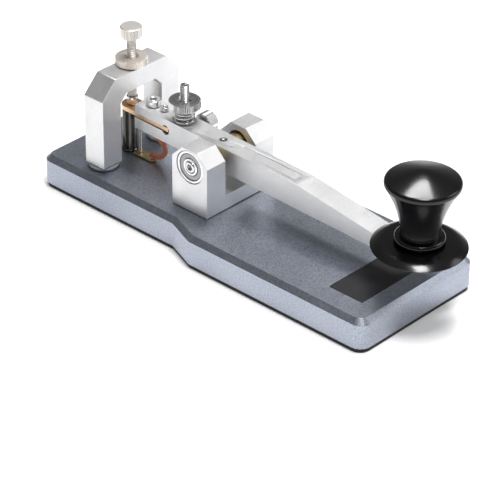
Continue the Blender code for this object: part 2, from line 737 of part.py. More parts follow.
def build_bridge():
    half = BRIDGE_WIDTH / 2
    inner = half - BRIDGE_LEG_WIDTH
    beam = BRIDGE_HEIGHT - BRIDGE_BEAM
    front_view = [
        (-half, 0.0),
        (-inner, 0.0),
        (-inner, beam - BRIDGE_INNER_CHAMFER),
        (-inner + BRIDGE_INNER_CHAMFER, beam),
        (inner - BRIDGE_INNER_CHAMFER, beam),
        (inner, beam - BRIDGE_INNER_CHAMFER),
        (inner, 0.0),
        (half, 0.0),
        (half, BRIDGE_HEIGHT - BRIDGE_OUTER_CHAMFER),
        (half - BRIDGE_OUTER_CHAMFER, BRIDGE_HEIGHT),
        (-half + BRIDGE_OUTER_CHAMFER, BRIDGE_HEIGHT),
        (-half, BRIDGE_HEIGHT - BRIDGE_OUTER_CHAMFER),
    ]
    mesh = outline_mesh("contact_bridge", front_view, -BRIDGE_DEPTH / 2, BRIDGE_DEPTH / 2)
    mesh.transform(Matrix.Rotation(math.radians(90.0), 4, "X"))
    place = (0.0, BRIDGE_Y, BRIDGE_SEAT)
    bridge = add("contact_bridge", mesh, ORIGIN, place, recipe=ALUMINIUM)
    reach = BRIDGE_HEIGHT + CUT_OVERRUN
    cut_hole(bridge, ORIGIN, place, CONTACT_SCREW_RADIUS + FIT_GAP, beam - CUT_OVERRUN, reach)
    depth = FASTENER_GRIP + SEAT_GAP
    leg_x = half - BRIDGE_LEG_WIDTH / 2
    for side in (-1, 1):
        foot = (side * leg_x, BRIDGE_Y, BRIDGE_SEAT)
        cut_hole(bridge, ORIGIN, foot, FASTENER_RADIUS + FIT_GAP, -CUT_OVERRUN, depth, facets=FACETS_SMALL)
    shade_round([bridge])


def build_bridge_insulation(word, side):
    """The nylon washer under a leg, and the bush that keeps its screw off the plate."""
    leg_x = side * (BRIDGE_WIDTH / 2 - BRIDGE_LEG_WIDTH / 2)
    bore = FASTENER_RADIUS + FIT_GAP
    washer = ring_profile(WASHER_RADIUS, bore, 0.0, WASHER_THICKNESS)
    turned(f"bridge_washer_{word}", washer, ORIGIN, (leg_x, BRIDGE_Y, PLATE_SEAT), NYLON)
    bush = ring_profile(bore + BUSH_WALL, bore, -BUSH_LENGTH, 0.0)
    turned(f"insulating_bush_{word}", bush, ORIGIN, (leg_x, BRIDGE_Y, PLATE_TOP), NYLON)


def build_fasteners():
    head = (FASTENER_HEAD_RADIUS, FASTENER_HEAD_HEIGHT)
    bottom = PLATE_BOTTOM + SEAT_GAP
    for word, side in SIDES:
        cheek_x = side * (YOKE_GAP / 2 + CHEEK_WIDTH / 2)
        length = PLATE_SEAT + FASTENER_GRIP - bottom - FASTENER_HEAD_HEIGHT
        place = (cheek_x, YOKE_Y, bottom)
        socket_head_screw(f"yoke_screw_{word}", ORIGIN, place, (FASTENER_RADIUS, length), head, STEEL)
        leg_x = side * (BRIDGE_WIDTH / 2 - BRIDGE_LEG_WIDTH / 2)
        length = BRIDGE_SEAT + FASTENER_GRIP - bottom - FASTENER_HEAD_HEIGHT
        place = (leg_x, BRIDGE_Y, bottom)
        socket_head_screw(f"bridge_screw_{word}", ORIGIN, place, (FASTENER_RADIUS, length), head, STEEL)


def contact_levels():
    """Heights above the table, at the contact screw: top of the rivet, and the tip's two faces."""
    rise = CONTACT_REACH * math.tan(LEVER_REST_TILT)
    rivet_top = PIVOT_HEIGHT + rise + (BLADE_TOP + SEAT_GAP + RIVET_HEIGHT) / math.cos(LEVER_REST_TILT)
    tip_low = rivet_top + CONTACT_GAP
    return rivet_top, tip_low, tip_low + CONTACT_TIP_THICKNESS


def knurled_nut_profile(radius, bore, thickness):
    """A round nut with a countersink in its top face, and soft outer edges."""
    edge = 0.35 * MM
    sink = max(NUT_SINK_RADIUS, bore + edge)
    return [
        (sink, thickness),
        (radius - edge, thickness),
        (radius, thickness - edge),
        (radius, edge),
        (radius - edge, 0.0),
        (bore, 0.0),
        (bore, thickness - NUT_SINK_DEPTH),
    ]


def build_contact_screw():
    _, tip_low, tip_high = contact_levels()
    place = (0.0, BRIDGE_Y, 0.0)
    tip = [(0.0, tip_high), (CONTACT_TIP_RADIUS, tip_high), (CONTACT_TIP_RADIUS, tip_low), (0.0, tip_low)]
    turned("contact_tip", tip, ORIGIN, place, SILVER)

    nut_low = BRIDGE_TOP + SEAT_GAP
    bore = CONTACT_SCREW_RADIUS + FIT_GAP
    nut = knurled_nut_profile(LOCK_NUT_RADIUS, bore, LOCK_NUT_THICKNESS)
    turned("contact_lock_nut", nut, ORIGIN, (0.0, BRIDGE_Y, nut_low), NICKEL)

    head_low = nut_low + LOCK_NUT_THICKNESS + CONTACT_HEAD_CLEAR
    head_high = head_low + CONTACT_HEAD_HEIGHT
    edge = 0.4 * MM
    points = [
        (0.0, head_high),
        (CONTACT_HEAD_RADIUS - edge, head_high),
        (CONTACT_HEAD_RADIUS, head_high - edge),
        (CONTACT_HEAD_RADIUS, head_low + edge),
        (CONTACT_HEAD_RADIUS - edge, head_low),
        (CONTACT_SCREW_RADIUS, head_low),
        (CONTACT_SCREW_RADIUS, tip_high + SEAT_GAP),
        (0.0, tip_high + SEAT_GAP),
    ]
    turned("contact_screw", points, ORIGIN, place, NICKEL)


# ---------------------------------------------------------------- lever and what it carries


def build_lever():
    side_view = [
        (LEVER_FRONT, LEVER_BOTTOM),
        (LEVER_REAR, LEVER_BOTTOM),
        (LEVER_REAR, LEVER_TOP),
        (LEVER_TAPER_START, LEVER_TOP),
        (LEVER_TAPER_END, LEVER_SEAT),
        (LEVER_FRONT, LEVER_SEAT),
    ]
    mesh = outline_mesh("lever_arm", side_view, -LEVER_WIDTH / 2, LEVER_WIDTH / 2)
    mesh.transform(Matrix(((0, 0, 1, 0), (1, 0, 0, 0), (0, 1, 0, 0), (0, 0, 0, 1))))
    lever = add("lever_arm", mesh, LEVER, recipe=ALUMINIUM)
    along_x = (0.0, math.radians(90.0), 0.0)
    across = LEVER_WIDTH / 2 + CUT_OVERRUN

    slot_length = LEVER_REAR - SLOT_END + CUT_OVERRUN
    slot_place = (0.0, SLOT_END + slot_length / 2, BLADE_HEIGHT)
    slot_height = BLADE_THICKNESS + 2 * FIT_GAP
    cut_box(lever, LEVER, slot_place, (LEVER_WIDTH + 2 * CUT_OVERRUN, slot_length, slot_height))
    cut_hole(lever, LEVER, (0.0, SLOT_END, BLADE_HEIGHT), SLOT_RELIEF_RADIUS, -across, across, along_x)
    cut_hole(lever, LEVER, (0, 0, 0), AXLE_RADIUS + FIT_GAP, -across, across, along_x)

    stud_y = lever_y(STUD_Y)
    through = STUD_RADIUS + STUD_CLEARANCE
    low = LEVER_BOTTOM - CUT_OVERRUN
    high = LEVER_TOP + CUT_OVERRUN
    cut_hole(lever, LEVER, (0.0, stud_y, 0.0), through, low, high)
    pocket = LEVER_TOP - SPRING_POCKET_DEPTH
    pocket_radius = min(SPRING_POCKET_RADIUS, LEVER_WIDTH / 2 - FIT_GAP / 2)
    cut_hole(lever, LEVER, (0.0, stud_y, 0.0), pocket_radius, pocket, high)

    for y, radius in ((CLAMP_SCREW_Y, CLAMP_SCREW_RADIUS), (SMALL_SCREW_Y, SMALL_SCREW_RADIUS)):
        hole = radius + FIT_GAP
        cut_hole(lever, LEVER, (0.0, y, 0.0), hole, SCREW_END - SEAT_GAP, high, facets=FACETS_SMALL)
    hole = SET_SCREW_RADIUS + FIT_GAP
    cut_hole(lever, LEVER, (0, 0, 0), hole, AXLE_RADIUS / 2, high, facets=FACETS_SMALL)
    hole = BRAID_RADIUS + FIT_GAP
    anchor = (0.0, BRAID_ANCHOR_Y, LEVER_BOTTOM)
    cut_hole(lever, LEVER, anchor, hole, -CUT_OVERRUN, BRAID_ANCHOR_DEPTH, facets=FACETS_SMALL)

    side_place = (0.0, SIDE_SCREW_Y, SIDE_SCREW_HEIGHT)
    side_end = LEVER_WIDTH / 2 - SIDE_SCREW_DEPTH - SEAT_GAP
    hole = SIDE_SCREW_RADIUS + FIT_GAP
    cut_hole(lever, LEVER, side_place, hole, side_end, across, along_x, FACETS_SMALL)

    knob_place = (0.0, KNOB_Y, 0.0)
    hole = KNOB_SCREW_RADIUS + FIT_GAP
    cut_hole(lever, LEVER, knob_place, hole, low, high, facets=FACETS_SMALL)
    hole = KNOB_SCREW_HEAD_RADIUS + FIT_GAP
    recess = LEVER_BOTTOM + KNOB_SCREW_HEAD_HEIGHT + 2 * SEAT_GAP
    cut_hole(lever, LEVER, knob_place, hole, low, recess, facets=FACETS_SMALL)
    shade_round([lever])


def lever_y(base_y):
    """The lever-frame Y of something that stands at base_y on the plate."""
    return (base_y - YOKE_Y) / math.cos(LEVER_REST_TILT)


def build_blade():
    """The contact strip: flat in the slot, with a round tongue under the contact screw."""
    half = BLADE_WIDTH / 2
    start = SLOT_END - SLOT_RELIEF_RADIUS / 2
    tongue = lever_y(BRIDGE_Y)
    corners = [(-half, start), (half, start)]
    steps = FACETS_MEDIUM // 2
    for step in range(steps + 1):
        angle = math.pi * step / steps
        corners.append((TONGUE_RADIUS * math.cos(angle), tongue + TONGUE_RADIUS * math.sin(angle)))
    low = BLADE_HEIGHT - BLADE_THICKNESS / 2
    strip = outline_mesh("contact_blade", corners, low, BLADE_TOP)
    blade = add("contact_blade", strip, LEVER, recipe=COPPER)
    for y, radius in ((CLAMP_SCREW_Y, CLAMP_SCREW_RADIUS), (SMALL_SCREW_Y, SMALL_SCREW_RADIUS)):
        hole = radius + FIT_GAP
        reach = CUT_OVERRUN + BLADE_THICKNESS
        cut_hole(blade, LEVER, (0.0, y, BLADE_HEIGHT), hole, -reach, reach, facets=FACETS_SMALL)
    low = BLADE_TOP + SEAT_GAP
    edge = 0.3 * MM
    rivet = [
        (0.0, low + RIVET_HEIGHT),
        (RIVET_RADIUS - edge, low + RIVET_HEIGHT),
        (RIVET_RADIUS, low + RIVET_HEIGHT - edge),
        (RIVET_RADIUS, low),
        (0.0, low),
    ]
    turned("blade_contact", rivet, LEVER, (0.0, tongue, 0.0), COPPER)


def top_screw(name, y, shank_radius, head_radius, head_height):
    """A clamp screw driven down through the lever's top, with a hexagon socket."""
    head_low = LEVER_TOP + SEAT_GAP
    points = [
        (0.0, head_low + head_height),
        (head_radius, head_low + head_height),
        (head_radius, head_low),
        (shank_radius, head_low),
        (shank_radius, SCREW_END),
        (0.0, SCREW_END),
    ]
    made = turned(name, points, LEVER, (0.0, y, 0.0), STEEL)
    depth = head_height * SOCKET_DEPTH_SHARE
    top = head_low + head_height
    socket = head_radius * SOCKET_RADIUS_SHARE
    cut_hole(made, LEVER, (0.0, y, 0.0), socket, top - depth, top + CUT_OVERRUN, facets=6)


def build_lever_fittings():
    top_screw("blade_clamp_screw", CLAMP_SCREW_Y, CLAMP_SCREW_RADIUS, CLAMP_HEAD_RADIUS, CLAMP_HEAD_HEIGHT)
    top_screw("blade_lock_screw", SMALL_SCREW_Y, SMALL_SCREW_RADIUS, SMALL_HEAD_RADIUS, SMALL_HEAD_HEIGHT)

    top = LEVER_TOP - SEAT_GAP / 3
    low = AXLE_RADIUS + SEAT_GAP
    high = min(top, low + SET_SCREW_LENGTH)
    points = [(0.0, high), (SET_SCREW_RADIUS, high), (SET_SCREW_RADIUS, low), (0.0, low)]
    screw = turned("axle_set_screw", points, LEVER, (0, 0, 0), STEEL, facets=FACETS_SMALL)
    socket = SET_SCREW_RADIUS * SOCKET_RADIUS_SHARE
    cut_hole(screw, LEVER, (0, 0, 0), socket, high - SET_SCREW_LENGTH / 2, high + CUT_OVERRUN, facets=6)

    near = LEVER_WIDTH / 2 + SIDE_HEAD_CLEAR
    far = near + SIDE_HEAD_LENGTH
    edge = 0.35 * MM
    root = LEVER_WIDTH / 2 - SIDE_SCREW_DEPTH
    points = [
        (0.0, far),
        (SIDE_HEAD_RADIUS - edge, far),
        (SIDE_HEAD_RADIUS, far - edge),
        (SIDE_HEAD_RADIUS, near + edge),
        (SIDE_HEAD_RADIUS - edge, near),
        (SIDE_SCREW_RADIUS, near),
        (SIDE_SCREW_RADIUS, root),
        (0.0, root),
    ]
    outward = (0.0, math.radians(90.0), 0.0)
    turned("side_thumb_screw", points, LEVER, (0.0, SIDE_SCREW_Y, SIDE_SCREW_HEIGHT), STEEL, outward)


# ---------------------------------------------------------------- tension stud, spring, nut


def build_tension():
    place = (0.0, STUD_Y, 0.0)
    low = PLATE_TOP - STUD_ROOT
    edge = 0.4 * MM
    points = [
        (0.0, STUD_TOP),
        (STUD_RADIUS - edge, STUD_TOP),
        (STUD_RADIUS, STUD_TOP - edge),
        (STUD_RADIUS, low),
        (0.0, low),
    ]
    stud = turned("tension_stud", points, ORIGIN, place, STEEL)
    slot_place = (0.0, STUD_Y, STUD_TOP)
    cut_box(stud, ORIGIN, slot_place, (4 * STUD_RADIUS, STUD_SLOT_WIDTH, 2 * STUD_SLOT_DEPTH))

    bore = STUD_RADIUS + FIT_GAP
    nut = knurled_nut_profile(TENSION_NUT_RADIUS, bore, TENSION_NUT_THICKNESS)
    turned("tension_nut", nut, ORIGIN, (0.0, STUD_Y, TENSION_NUT_BOTTOM), STEEL)
    cap_high = TENSION_NUT_BOTTOM - SEAT_GAP
    cap_low = cap_high - SPRING_CAP_THICKNESS
    cap = ring_profile(SPRING_CAP_RADIUS, bore, cap_low, cap_high)
    turned("spring_cap", cap, ORIGIN, place, STEEL)

    pocket_floor = LEVER_TOP - SPRING_POCKET_DEPTH
    seat = PIVOT_HEIGHT + lever_y(STUD_Y) * math.sin(LEVER_REST_TILT) + pocket_floor
    tilt_rise = SPRING_POCKET_RADIUS * math.sin(LEVER_REST_TILT)
    start = seat + SEAT_GAP + tilt_rise + SPRING_WIRE_RADIUS
    end = cap_low - SEAT_GAP - SPRING_WIRE_RADIUS
    count = round(SPRING_TURNS * SPRING_POINTS_PER_TURN)
    points = []
    for step in range(count + 1):
        angle = 2 * math.pi * SPRING_TURNS * step / count
        height = start + (end - start) * step / count
        points.append((SPRING_RADIUS * math.cos(angle), SPRING_RADIUS * math.sin(angle), height))
    mesh = tube_mesh("tension_spring", points, SPRING_WIRE_RADIUS)
    add("tension_spring", mesh, ORIGIN, place, recipe=STEEL)


# ---------------------------------------------------------------- rest post and wiring pieces


def build_rest_post():
    reach = POST_Y - YOKE_Y
    tongue_under = BLADE_HEIGHT - BLADE_THICKNESS / 2
    top = PIVOT_HEIGHT + reach * math.tan(LEVER_REST_TILT) + tongue_under
    top -= SEAT_GAP + POST_RADIUS * math.tan(LEVER_REST_TILT)
    foot = PLATE_SEAT
    edge = 0.4 * MM
    points = [
        (0.0, top),
        (POST_RADIUS - edge, top),
        (POST_RADIUS, top - edge),
        (POST_RADIUS, foot + POST_FOOT_HEIGHT),
        (POST_FOOT_RADIUS, foot + POST_FOOT_HEIGHT - edge),
        (POST_FOOT_RADIUS, foot),
        (POST_SPIGOT_RADIUS, foot),
        (POST_SPIGOT_RADIUS, PLATE_TOP - POST_SPIGOT_LENGTH),
        (0.0, PLATE_TOP - POST_SPIGOT_LENGTH),
    ]
    turned("rest_post", points, ORIGIN, (0.0, POST_Y, 0.0), STEEL)


def build_terminal():
    half = TAG_WIDTH / 2
    rear = min(TAG_REAR_Y, POST_Y - POST_FOOT_RADIUS - SEAT_GAP)
    corners = [(half, rear), (-half, rear)]
    steps = FACETS_SMALL // 2
    centre = TAG_FRONT_Y + half
    for step in range(steps + 1):
        angle = math.pi + math.pi * step / steps
        corners.append((half * math.cos(angle), centre + half * math.sin(angle)))
    mesh = outline_mesh("terminal_tag", corners, PLATE_SEAT, PLATE_SEAT + TAG_THICKNESS)
    tag = add("terminal_tag", mesh, ORIGIN, (TAG_X, 0.0, 0.0), recipe=BRASS)
    pin_place = (TAG_X, PIN_Y, 0.0)
    hole = PIN_RADIUS + FIT_GAP
    top = PLATE_SEAT + TAG_THICKNESS + CUT_OVERRUN
    cut_hole(tag, ORIGIN, pin_place, hole, PLATE_TOP - CUT_OVERRUN, top, facets=FACETS_SMALL)
    low = PLATE_TOP - PIN_ROOT
    points = [(0.0, PIN_TOP), (PIN_RADIUS, PIN_TOP), (PIN_RADIUS, low), (0.0, low)]
    turned("terminal_pin", points, ORIGIN, pin_place, NICKEL, facets=FACETS_SMALL)


def build_braid():
    """The flexible lead from the lever's underside, round a loop, back to the brass tag."""
    tilt = Matrix.Rotation(LEVER_REST_TILT, 4, "X")
    anchor = tilt @ Vector((0.0, BRAID_ANCHOR_Y, LEVER_BOTTOM + BRAID_ANCHOR_DEPTH - SEAT_GAP))
    mouth = tilt @ Vector((0.0, BRAID_ANCHOR_Y, LEVER_BOTTOM - SEAT_GAP))
    pivot = Vector((0.0, YOKE_Y, PIVOT_HEIGHT))
    start = anchor + pivot
    exit_point = mouth + pivot
    landing = PLATE_SEAT + TAG_THICKNESS + SEAT_GAP + BRAID_RADIUS
    drop = exit_point.z - landing
    corners = [
        start,
        exit_point,
        (-0.1 * MM, exit_point.y - 0.9 * MM, landing + 0.84 * drop),
        (-0.3 * MM, exit_point.y - 4.6 * MM, landing + 0.77 * drop),
        (-0.4 * MM, exit_point.y - 8.6 * MM, landing + 0.66 * drop),
        (-0.5 * MM, exit_point.y - 10.4 * MM, landing + 0.42 * drop),
        (-0.5 * MM, exit_point.y - 9.2 * MM, landing + 0.17 * drop),
        (-0.5 * MM, exit_point.y - 6.2 * MM, landing + 0.02 * drop),
        (-0.5 * MM, exit_point.y - 2.2 * MM, landing),
    ]
    mesh = tube_mesh("flexible_braid", smooth_route(corners, 4), BRAID_RADIUS)
    add("flexible_braid", mesh, ORIGIN, recipe=BRAID)


# ---------------------------------------------------------------- finger knob


def arc(centre, radii, start, end, steps):
    """Points on an elliptic arc in the profile's plane, both ends included, angles in degrees."""
    made = []
    for step in range(steps + 1):
        angle = math.radians(start + (end - start) * step / steps)
        made.append((centre[0] + radii[0] * math.cos(angle), centre[1] + radii[1] * math.sin(angle)))
    return made


def build_knob():
    """The knob's three pieces, turned round an axis square to the lever's seat."""
    place = (0.0, KNOB_Y, SKIRT_LINE)
    bore = KNOB_SCREW_RADIUS + FIT_GAP
    roll = SKIRT_RADIUS - SKIRT_FLAT_RADIUS
    top = SKIRT_ABOVE
    skirt = [(bore, top)]
    skirt += arc((SKIRT_FLAT_RADIUS, 0.0), (roll, top), 90.0, 0.0, 5)
    skirt += arc((SKIRT_RADIUS - SKIRT_BELOW, 0.0), (SKIRT_BELOW, SKIRT_BELOW), -20.0, -90.0, 3)
    skirt += [(bore, -SKIRT_BELOW)]
    turned("knob_skirt", skirt, LEVER, place, GLOSS_BLACK, facets=FACETS_FINE)

    foot = SKIRT_ABOVE + SEAT_GAP
    roll = KNOB_RING_ROLL
    rim_low = KNOB_CAP_HEIGHT - KNOB_RIM_BELOW
    rim_high = KNOB_CAP_HEIGHT + KNOB_RIM_ABOVE
    rim_radius = KNOB_CAP_RADIUS - KNOB_RIM_INSET
    grip = arc((0.0, rim_high), (rim_radius, KNOB_HEIGHT - rim_high), 90.0, 5.0, 6)
    grip += [(KNOB_CAP_RADIUS, KNOB_CAP_HEIGHT), (rim_radius, rim_low)]
    sweep = rim_low - foot - 2 * roll - FLARE_FOOT
    for step in range(1, FLARE_STEPS + 1):
        down = step / FLARE_STEPS
        radius = KNOB_NECK_RADIUS + (rim_radius - KNOB_NECK_RADIUS) * (1 - down) ** FLARE_POWER
        grip.append((radius, rim_low - sweep * down))
    grip += arc((KNOB_RING_RADIUS - roll, foot + roll), (roll, roll), 100.0, -90.0, 5)
    screw_top = KNOB_SCREW_REACH + foot
    grip += [(bore, foot), (bore, screw_top), (0.0, screw_top)]
    turned("knob_grip", grip, LEVER, place, GLOSS_BLACK, facets=FACETS_FINE)

    head_low = LEVER_BOTTOM + SEAT_GAP
    shank = screw_top - SEAT_GAP + SKIRT_LINE - head_low - KNOB_SCREW_HEAD_HEIGHT
    head = (KNOB_SCREW_HEAD_RADIUS, KNOB_SCREW_HEAD_HEIGHT)
    screw_place = (0.0, KNOB_Y, head_low)
    socket_head_screw("knob_screw", LEVER, screw_place, (KNOB_SCREW_RADIUS, shank), head, STEEL)


# ---------------------------------------------------------------- assembly

clear_scene()
PARTS = new_collection("morse_key")
CUTTERS = new_collection("cutters")
ORIGIN = empty("key_origin", None, (0.0, ORIGIN_SHIFT, 0.0))
LEVER = empty("lever_pivot", ORIGIN, (0.0, YOKE_Y, PIVOT_HEIGHT), LEVER_REST_TILT)
SIDES = (("left", -1), ("right", 1))

build_mat()
build_base_plate()
build_inlay()
build_jack()
build_wires()
build_yoke()
build_bridge()
build_fasteners()
for side_word, side_sign in SIDES:
    build_bearing(side_word, side_sign)
    build_spacer(side_word, side_sign)
    build_bridge_insulation(side_word, side_sign)
build_axle()
build_contact_screw()
build_lever()
build_blade()
build_lever_fittings()
build_tension()
build_rest_post()
build_terminal()
build_braid()
build_knob()
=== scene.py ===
"""Looks for the straight morse key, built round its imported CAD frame. Metres, +Z up."""

import json
import math

import bmesh
import bpy
from mathutils import Matrix, Vector


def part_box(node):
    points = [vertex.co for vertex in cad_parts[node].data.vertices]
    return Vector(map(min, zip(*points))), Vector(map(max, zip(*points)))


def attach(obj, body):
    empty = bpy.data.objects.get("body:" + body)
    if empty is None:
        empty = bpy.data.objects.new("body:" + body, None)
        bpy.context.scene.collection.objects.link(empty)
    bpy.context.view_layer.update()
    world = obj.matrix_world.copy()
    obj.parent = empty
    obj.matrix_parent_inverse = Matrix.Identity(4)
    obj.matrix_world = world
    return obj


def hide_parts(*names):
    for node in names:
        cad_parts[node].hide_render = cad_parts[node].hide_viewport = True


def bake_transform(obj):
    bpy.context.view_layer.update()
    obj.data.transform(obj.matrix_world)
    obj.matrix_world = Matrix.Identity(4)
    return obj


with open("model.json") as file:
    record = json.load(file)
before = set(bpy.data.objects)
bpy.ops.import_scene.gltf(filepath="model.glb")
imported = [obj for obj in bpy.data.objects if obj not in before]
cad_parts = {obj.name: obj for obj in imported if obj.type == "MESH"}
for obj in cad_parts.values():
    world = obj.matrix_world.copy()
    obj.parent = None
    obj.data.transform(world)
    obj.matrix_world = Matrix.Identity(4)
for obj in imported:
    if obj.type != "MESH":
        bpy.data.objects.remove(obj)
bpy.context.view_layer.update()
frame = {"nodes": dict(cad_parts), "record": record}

MM = 0.001
SLOT_OF = {part["node"]: part["material_slot"] for part in frame["record"]["subparts"]}
BODY_OF = {
    node: body
    for body, nodes in frame["record"]["behaviour"]["bodies"].items()
    for node in nodes
}

# The lever's own frame: its pivot axis, and the small angle at which it rests
AXLE_LOW, AXLE_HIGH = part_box("pivot_axle")
PIVOT = (AXLE_LOW + AXLE_HIGH) / 2
REST_TILT = math.radians(1.25)
LEVER = Matrix.Translation(PIVOT) @ Matrix.Rotation(REST_TILT, 4, "X")


def middle(node):
    low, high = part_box(node)
    return (low + high) / 2


# ---------------------------------------------------------------- materials


class Recipe:
    """Builds one procedural material round a Principled shader."""

    def __init__(self, name):
        self.made = bpy.data.materials.new(name)
        self.made.use_nodes = True
        self.tree = self.made.node_tree
        self.shader = self.tree.nodes["Principled BSDF"]
        self.place = self.node("ShaderNodeTexCoord").outputs["Object"]

    def node(self, kind, inputs=None, **settings):
        made = self.tree.nodes.new(kind)
        for key, value in settings.items():
            setattr(made, key, value)
        for key, value in (inputs or {}).items():
            if isinstance(value, bpy.types.NodeSocket):
                self.tree.links.new(value, made.inputs[key])
            else:
                made.inputs[key].default_value = value
        return made

    def maths(self, operation, first, second=0.0):
        made = self.node("ShaderNodeMath", {0: first, 1: second}, operation=operation)
        return made.outputs[0]

    def stretched(self, scale):
        """The place, scaled differently along each axis, for streaks and brushing."""
        made = self.node("ShaderNodeMapping", {"Vector": self.place, "Scale": scale})
        return made.outputs["Vector"]

    def round_marks(self, centre, axis):
        """A place that changes only with the distance from an axis: marks of the lathe."""
        offset = self.node(
            "ShaderNodeVectorMath",
            {0: self.place, 1: centre},
            operation="SUBTRACT",
        ).outputs["Vector"]
        parts = self.node("ShaderNodeSeparateXYZ", {"Vector": offset}).outputs
        across = [parts[letter] for letter in "XYZ" if letter != axis]
        squares = [self.maths("MULTIPLY", part, part) for part in across]
        radius = self.maths("SQRT", self.maths("ADD", *squares))
        joined = self.node("ShaderNodeCombineXYZ", {"X": radius, "Y": parts[axis]})
        return joined.outputs["Vector"]

    def noise(self, vector, size, detail=3.0, roughness=0.55):
        made = self.node(
            "ShaderNodeTexNoise",
            {"Vector": vector, "Scale": 1.0 / size, "Detail": detail, "Roughness": roughness},
        )
        return made.outputs["Fac"]

    def spread(self, value, low, high):
        """Maps the middle part of a noise to the range from low to high."""
        made = self.node(
            "ShaderNodeMapRange",
            {"Value": value, "From Min": 0.28, "From Max": 0.72, "To Min": low, "To Max": high},
        )
        return made.outputs["Result"]

    def mixed(self, share, first, second):
        """Two colours mixed; 0, 6 and 7 in and 2 out are the Mix node's colour sockets."""
        made = self.node("ShaderNodeMix", data_type="RGBA")
        for socket, value in ((0, share), (6, first), (7, second)):
            if isinstance(value, bpy.types.NodeSocket):
                self.tree.links.new(value, made.inputs[socket])
            else:
                made.inputs[socket].default_value = value
        return made.outputs[2]

    def bump(self, height, depth, below=None):
        inputs = {"Height": height, "Distance": depth}
        if below is not None:
            inputs["Normal"] = below
        return self.node("ShaderNodeBump", inputs).outputs["Normal"]

    def set(self, **values):
        for key, value in values.items():
            socket = self.shader.inputs[key.replace("_", " ")]
            if isinstance(value, bpy.types.NodeSocket):
                self.tree.links.new(value, socket)
            else:
                socket.default_value = value


def rgb(red, green, blue, share=1.0):
    return (red * share, green * share, blue * share, 1.0)


def metal(name, colour, roughness, grain, depth, uneven=0.1, streak=None, marks=None, dark=0.82):
    """Metal with a fine grain in its gloss, colour and surface, and broad faint unevenness.

    streak stretches the grain; marks is (centre, axis) for the rings that turning leaves."""
    mat = Recipe(name)
    vector = mat.place
    if streak:
        vector = mat.stretched(streak)
    if marks:
        vector = mat.round_marks(*marks)
    fine = mat.noise(vector, grain, 3.0, 0.65)
    broad = mat.noise(mat.place, 9.0 * MM, 3.0)
    tone = mat.mixed(mat.spread(fine, 0.0, 1.0), rgb(*colour, dark), rgb(*colour))
    tone = mat.mixed(mat.spread(broad, 0.0, 0.35), tone, rgb(*colour, dark))
    gloss = mat.maths("ADD", mat.spread(fine, roughness - uneven / 2, roughness + uneven / 2),
                      mat.spread(broad, -uneven / 4, uneven / 4))
    mat.set(Base_Color=tone, Metallic=1.0, Roughness=gloss, Normal=mat.bump(fine, depth))
    return mat.made


def plastic(name, colour, roughness, grain, depth, light=1.6, uneven=0.1):
    mat = Recipe(name)
    fine = mat.noise(mat.place, grain, 3.0, 0.6)
    broad = mat.noise(mat.place, 7.0 * MM, 2.0)
    tone = mat.mixed(mat.spread(fine, 0.0, 1.0), rgb(*colour), rgb(*colour, light))
    gloss = mat.maths("ADD", mat.spread(fine, roughness - uneven / 2, roughness + uneven / 2),
                      mat.spread(broad, -uneven / 3, uneven / 3))
    mat.set(Base_Color=tone, Roughness=gloss, Normal=mat.bump(fine, depth))
    return mat.made


def anodised():
    """Dyed, bead-blasted aluminium: pits that sparkle, over a slow drift in the dye."""
    mat = Recipe("anodised_base")
    pits = mat.noise(mat.place, 0.55 * MM, 4.0, 0.8)
    grit = mat.noise(mat.place, 1.6 * MM, 3.0, 0.7)
    drift = mat.noise(mat.place, 26.0 * MM, 2.0)
    deep = rgb(0.205, 0.235, 0.295)
    pale = rgb(0.50, 0.525, 0.59)
    tone = mat.mixed(mat.spread(pits, -0.45, 1.45), deep, pale)
    tone = mat.mixed(mat.spread(grit, 0.0, 0.45), tone, pale)
    tone = mat.mixed(mat.spread(drift, 0.0, 0.3), tone, deep)
    gloss = mat.maths("ADD", mat.spread(pits, 0.30, 0.44), mat.spread(grit, -0.03, 0.05))
    normal = mat.bump(pits, 0.035 * MM)
    normal = mat.bump(grit, 0.02 * MM, below=normal)
    mat.set(Base_Color=tone, Metallic=1.0, Roughness=gloss, Normal=normal)
    return mat.made


def lacquer():
    """Turned, sprayed black: near mirror, with orange-peel too shallow to see but in the gloss."""
    mat = Recipe("black_lacquer")
    peel = mat.noise(mat.place, 1.6 * MM, 2.0, 0.5)
    dust = mat.noise(mat.place, 0.25 * MM, 3.0, 0.7)
    deep = rgb(0.0015, 0.0015, 0.002)
    pale = rgb(0.004, 0.004, 0.005)
    tone = mat.mixed(mat.spread(dust, 0.0, 1.0), deep, pale)
    gloss = mat.spread(dust, 0.17, 0.22)
    mat.set(Base_Color=tone, Roughness=gloss, Normal=mat.bump(peel, 0.012 * MM),
            Specular_IOR_Level=0.36, Coat_Weight=0.15, Coat_Roughness=0.10)
    return mat.made


STUD_AXIS = middle("tension_stud")
SIDE_AXIS = middle("side_thumb_screw")

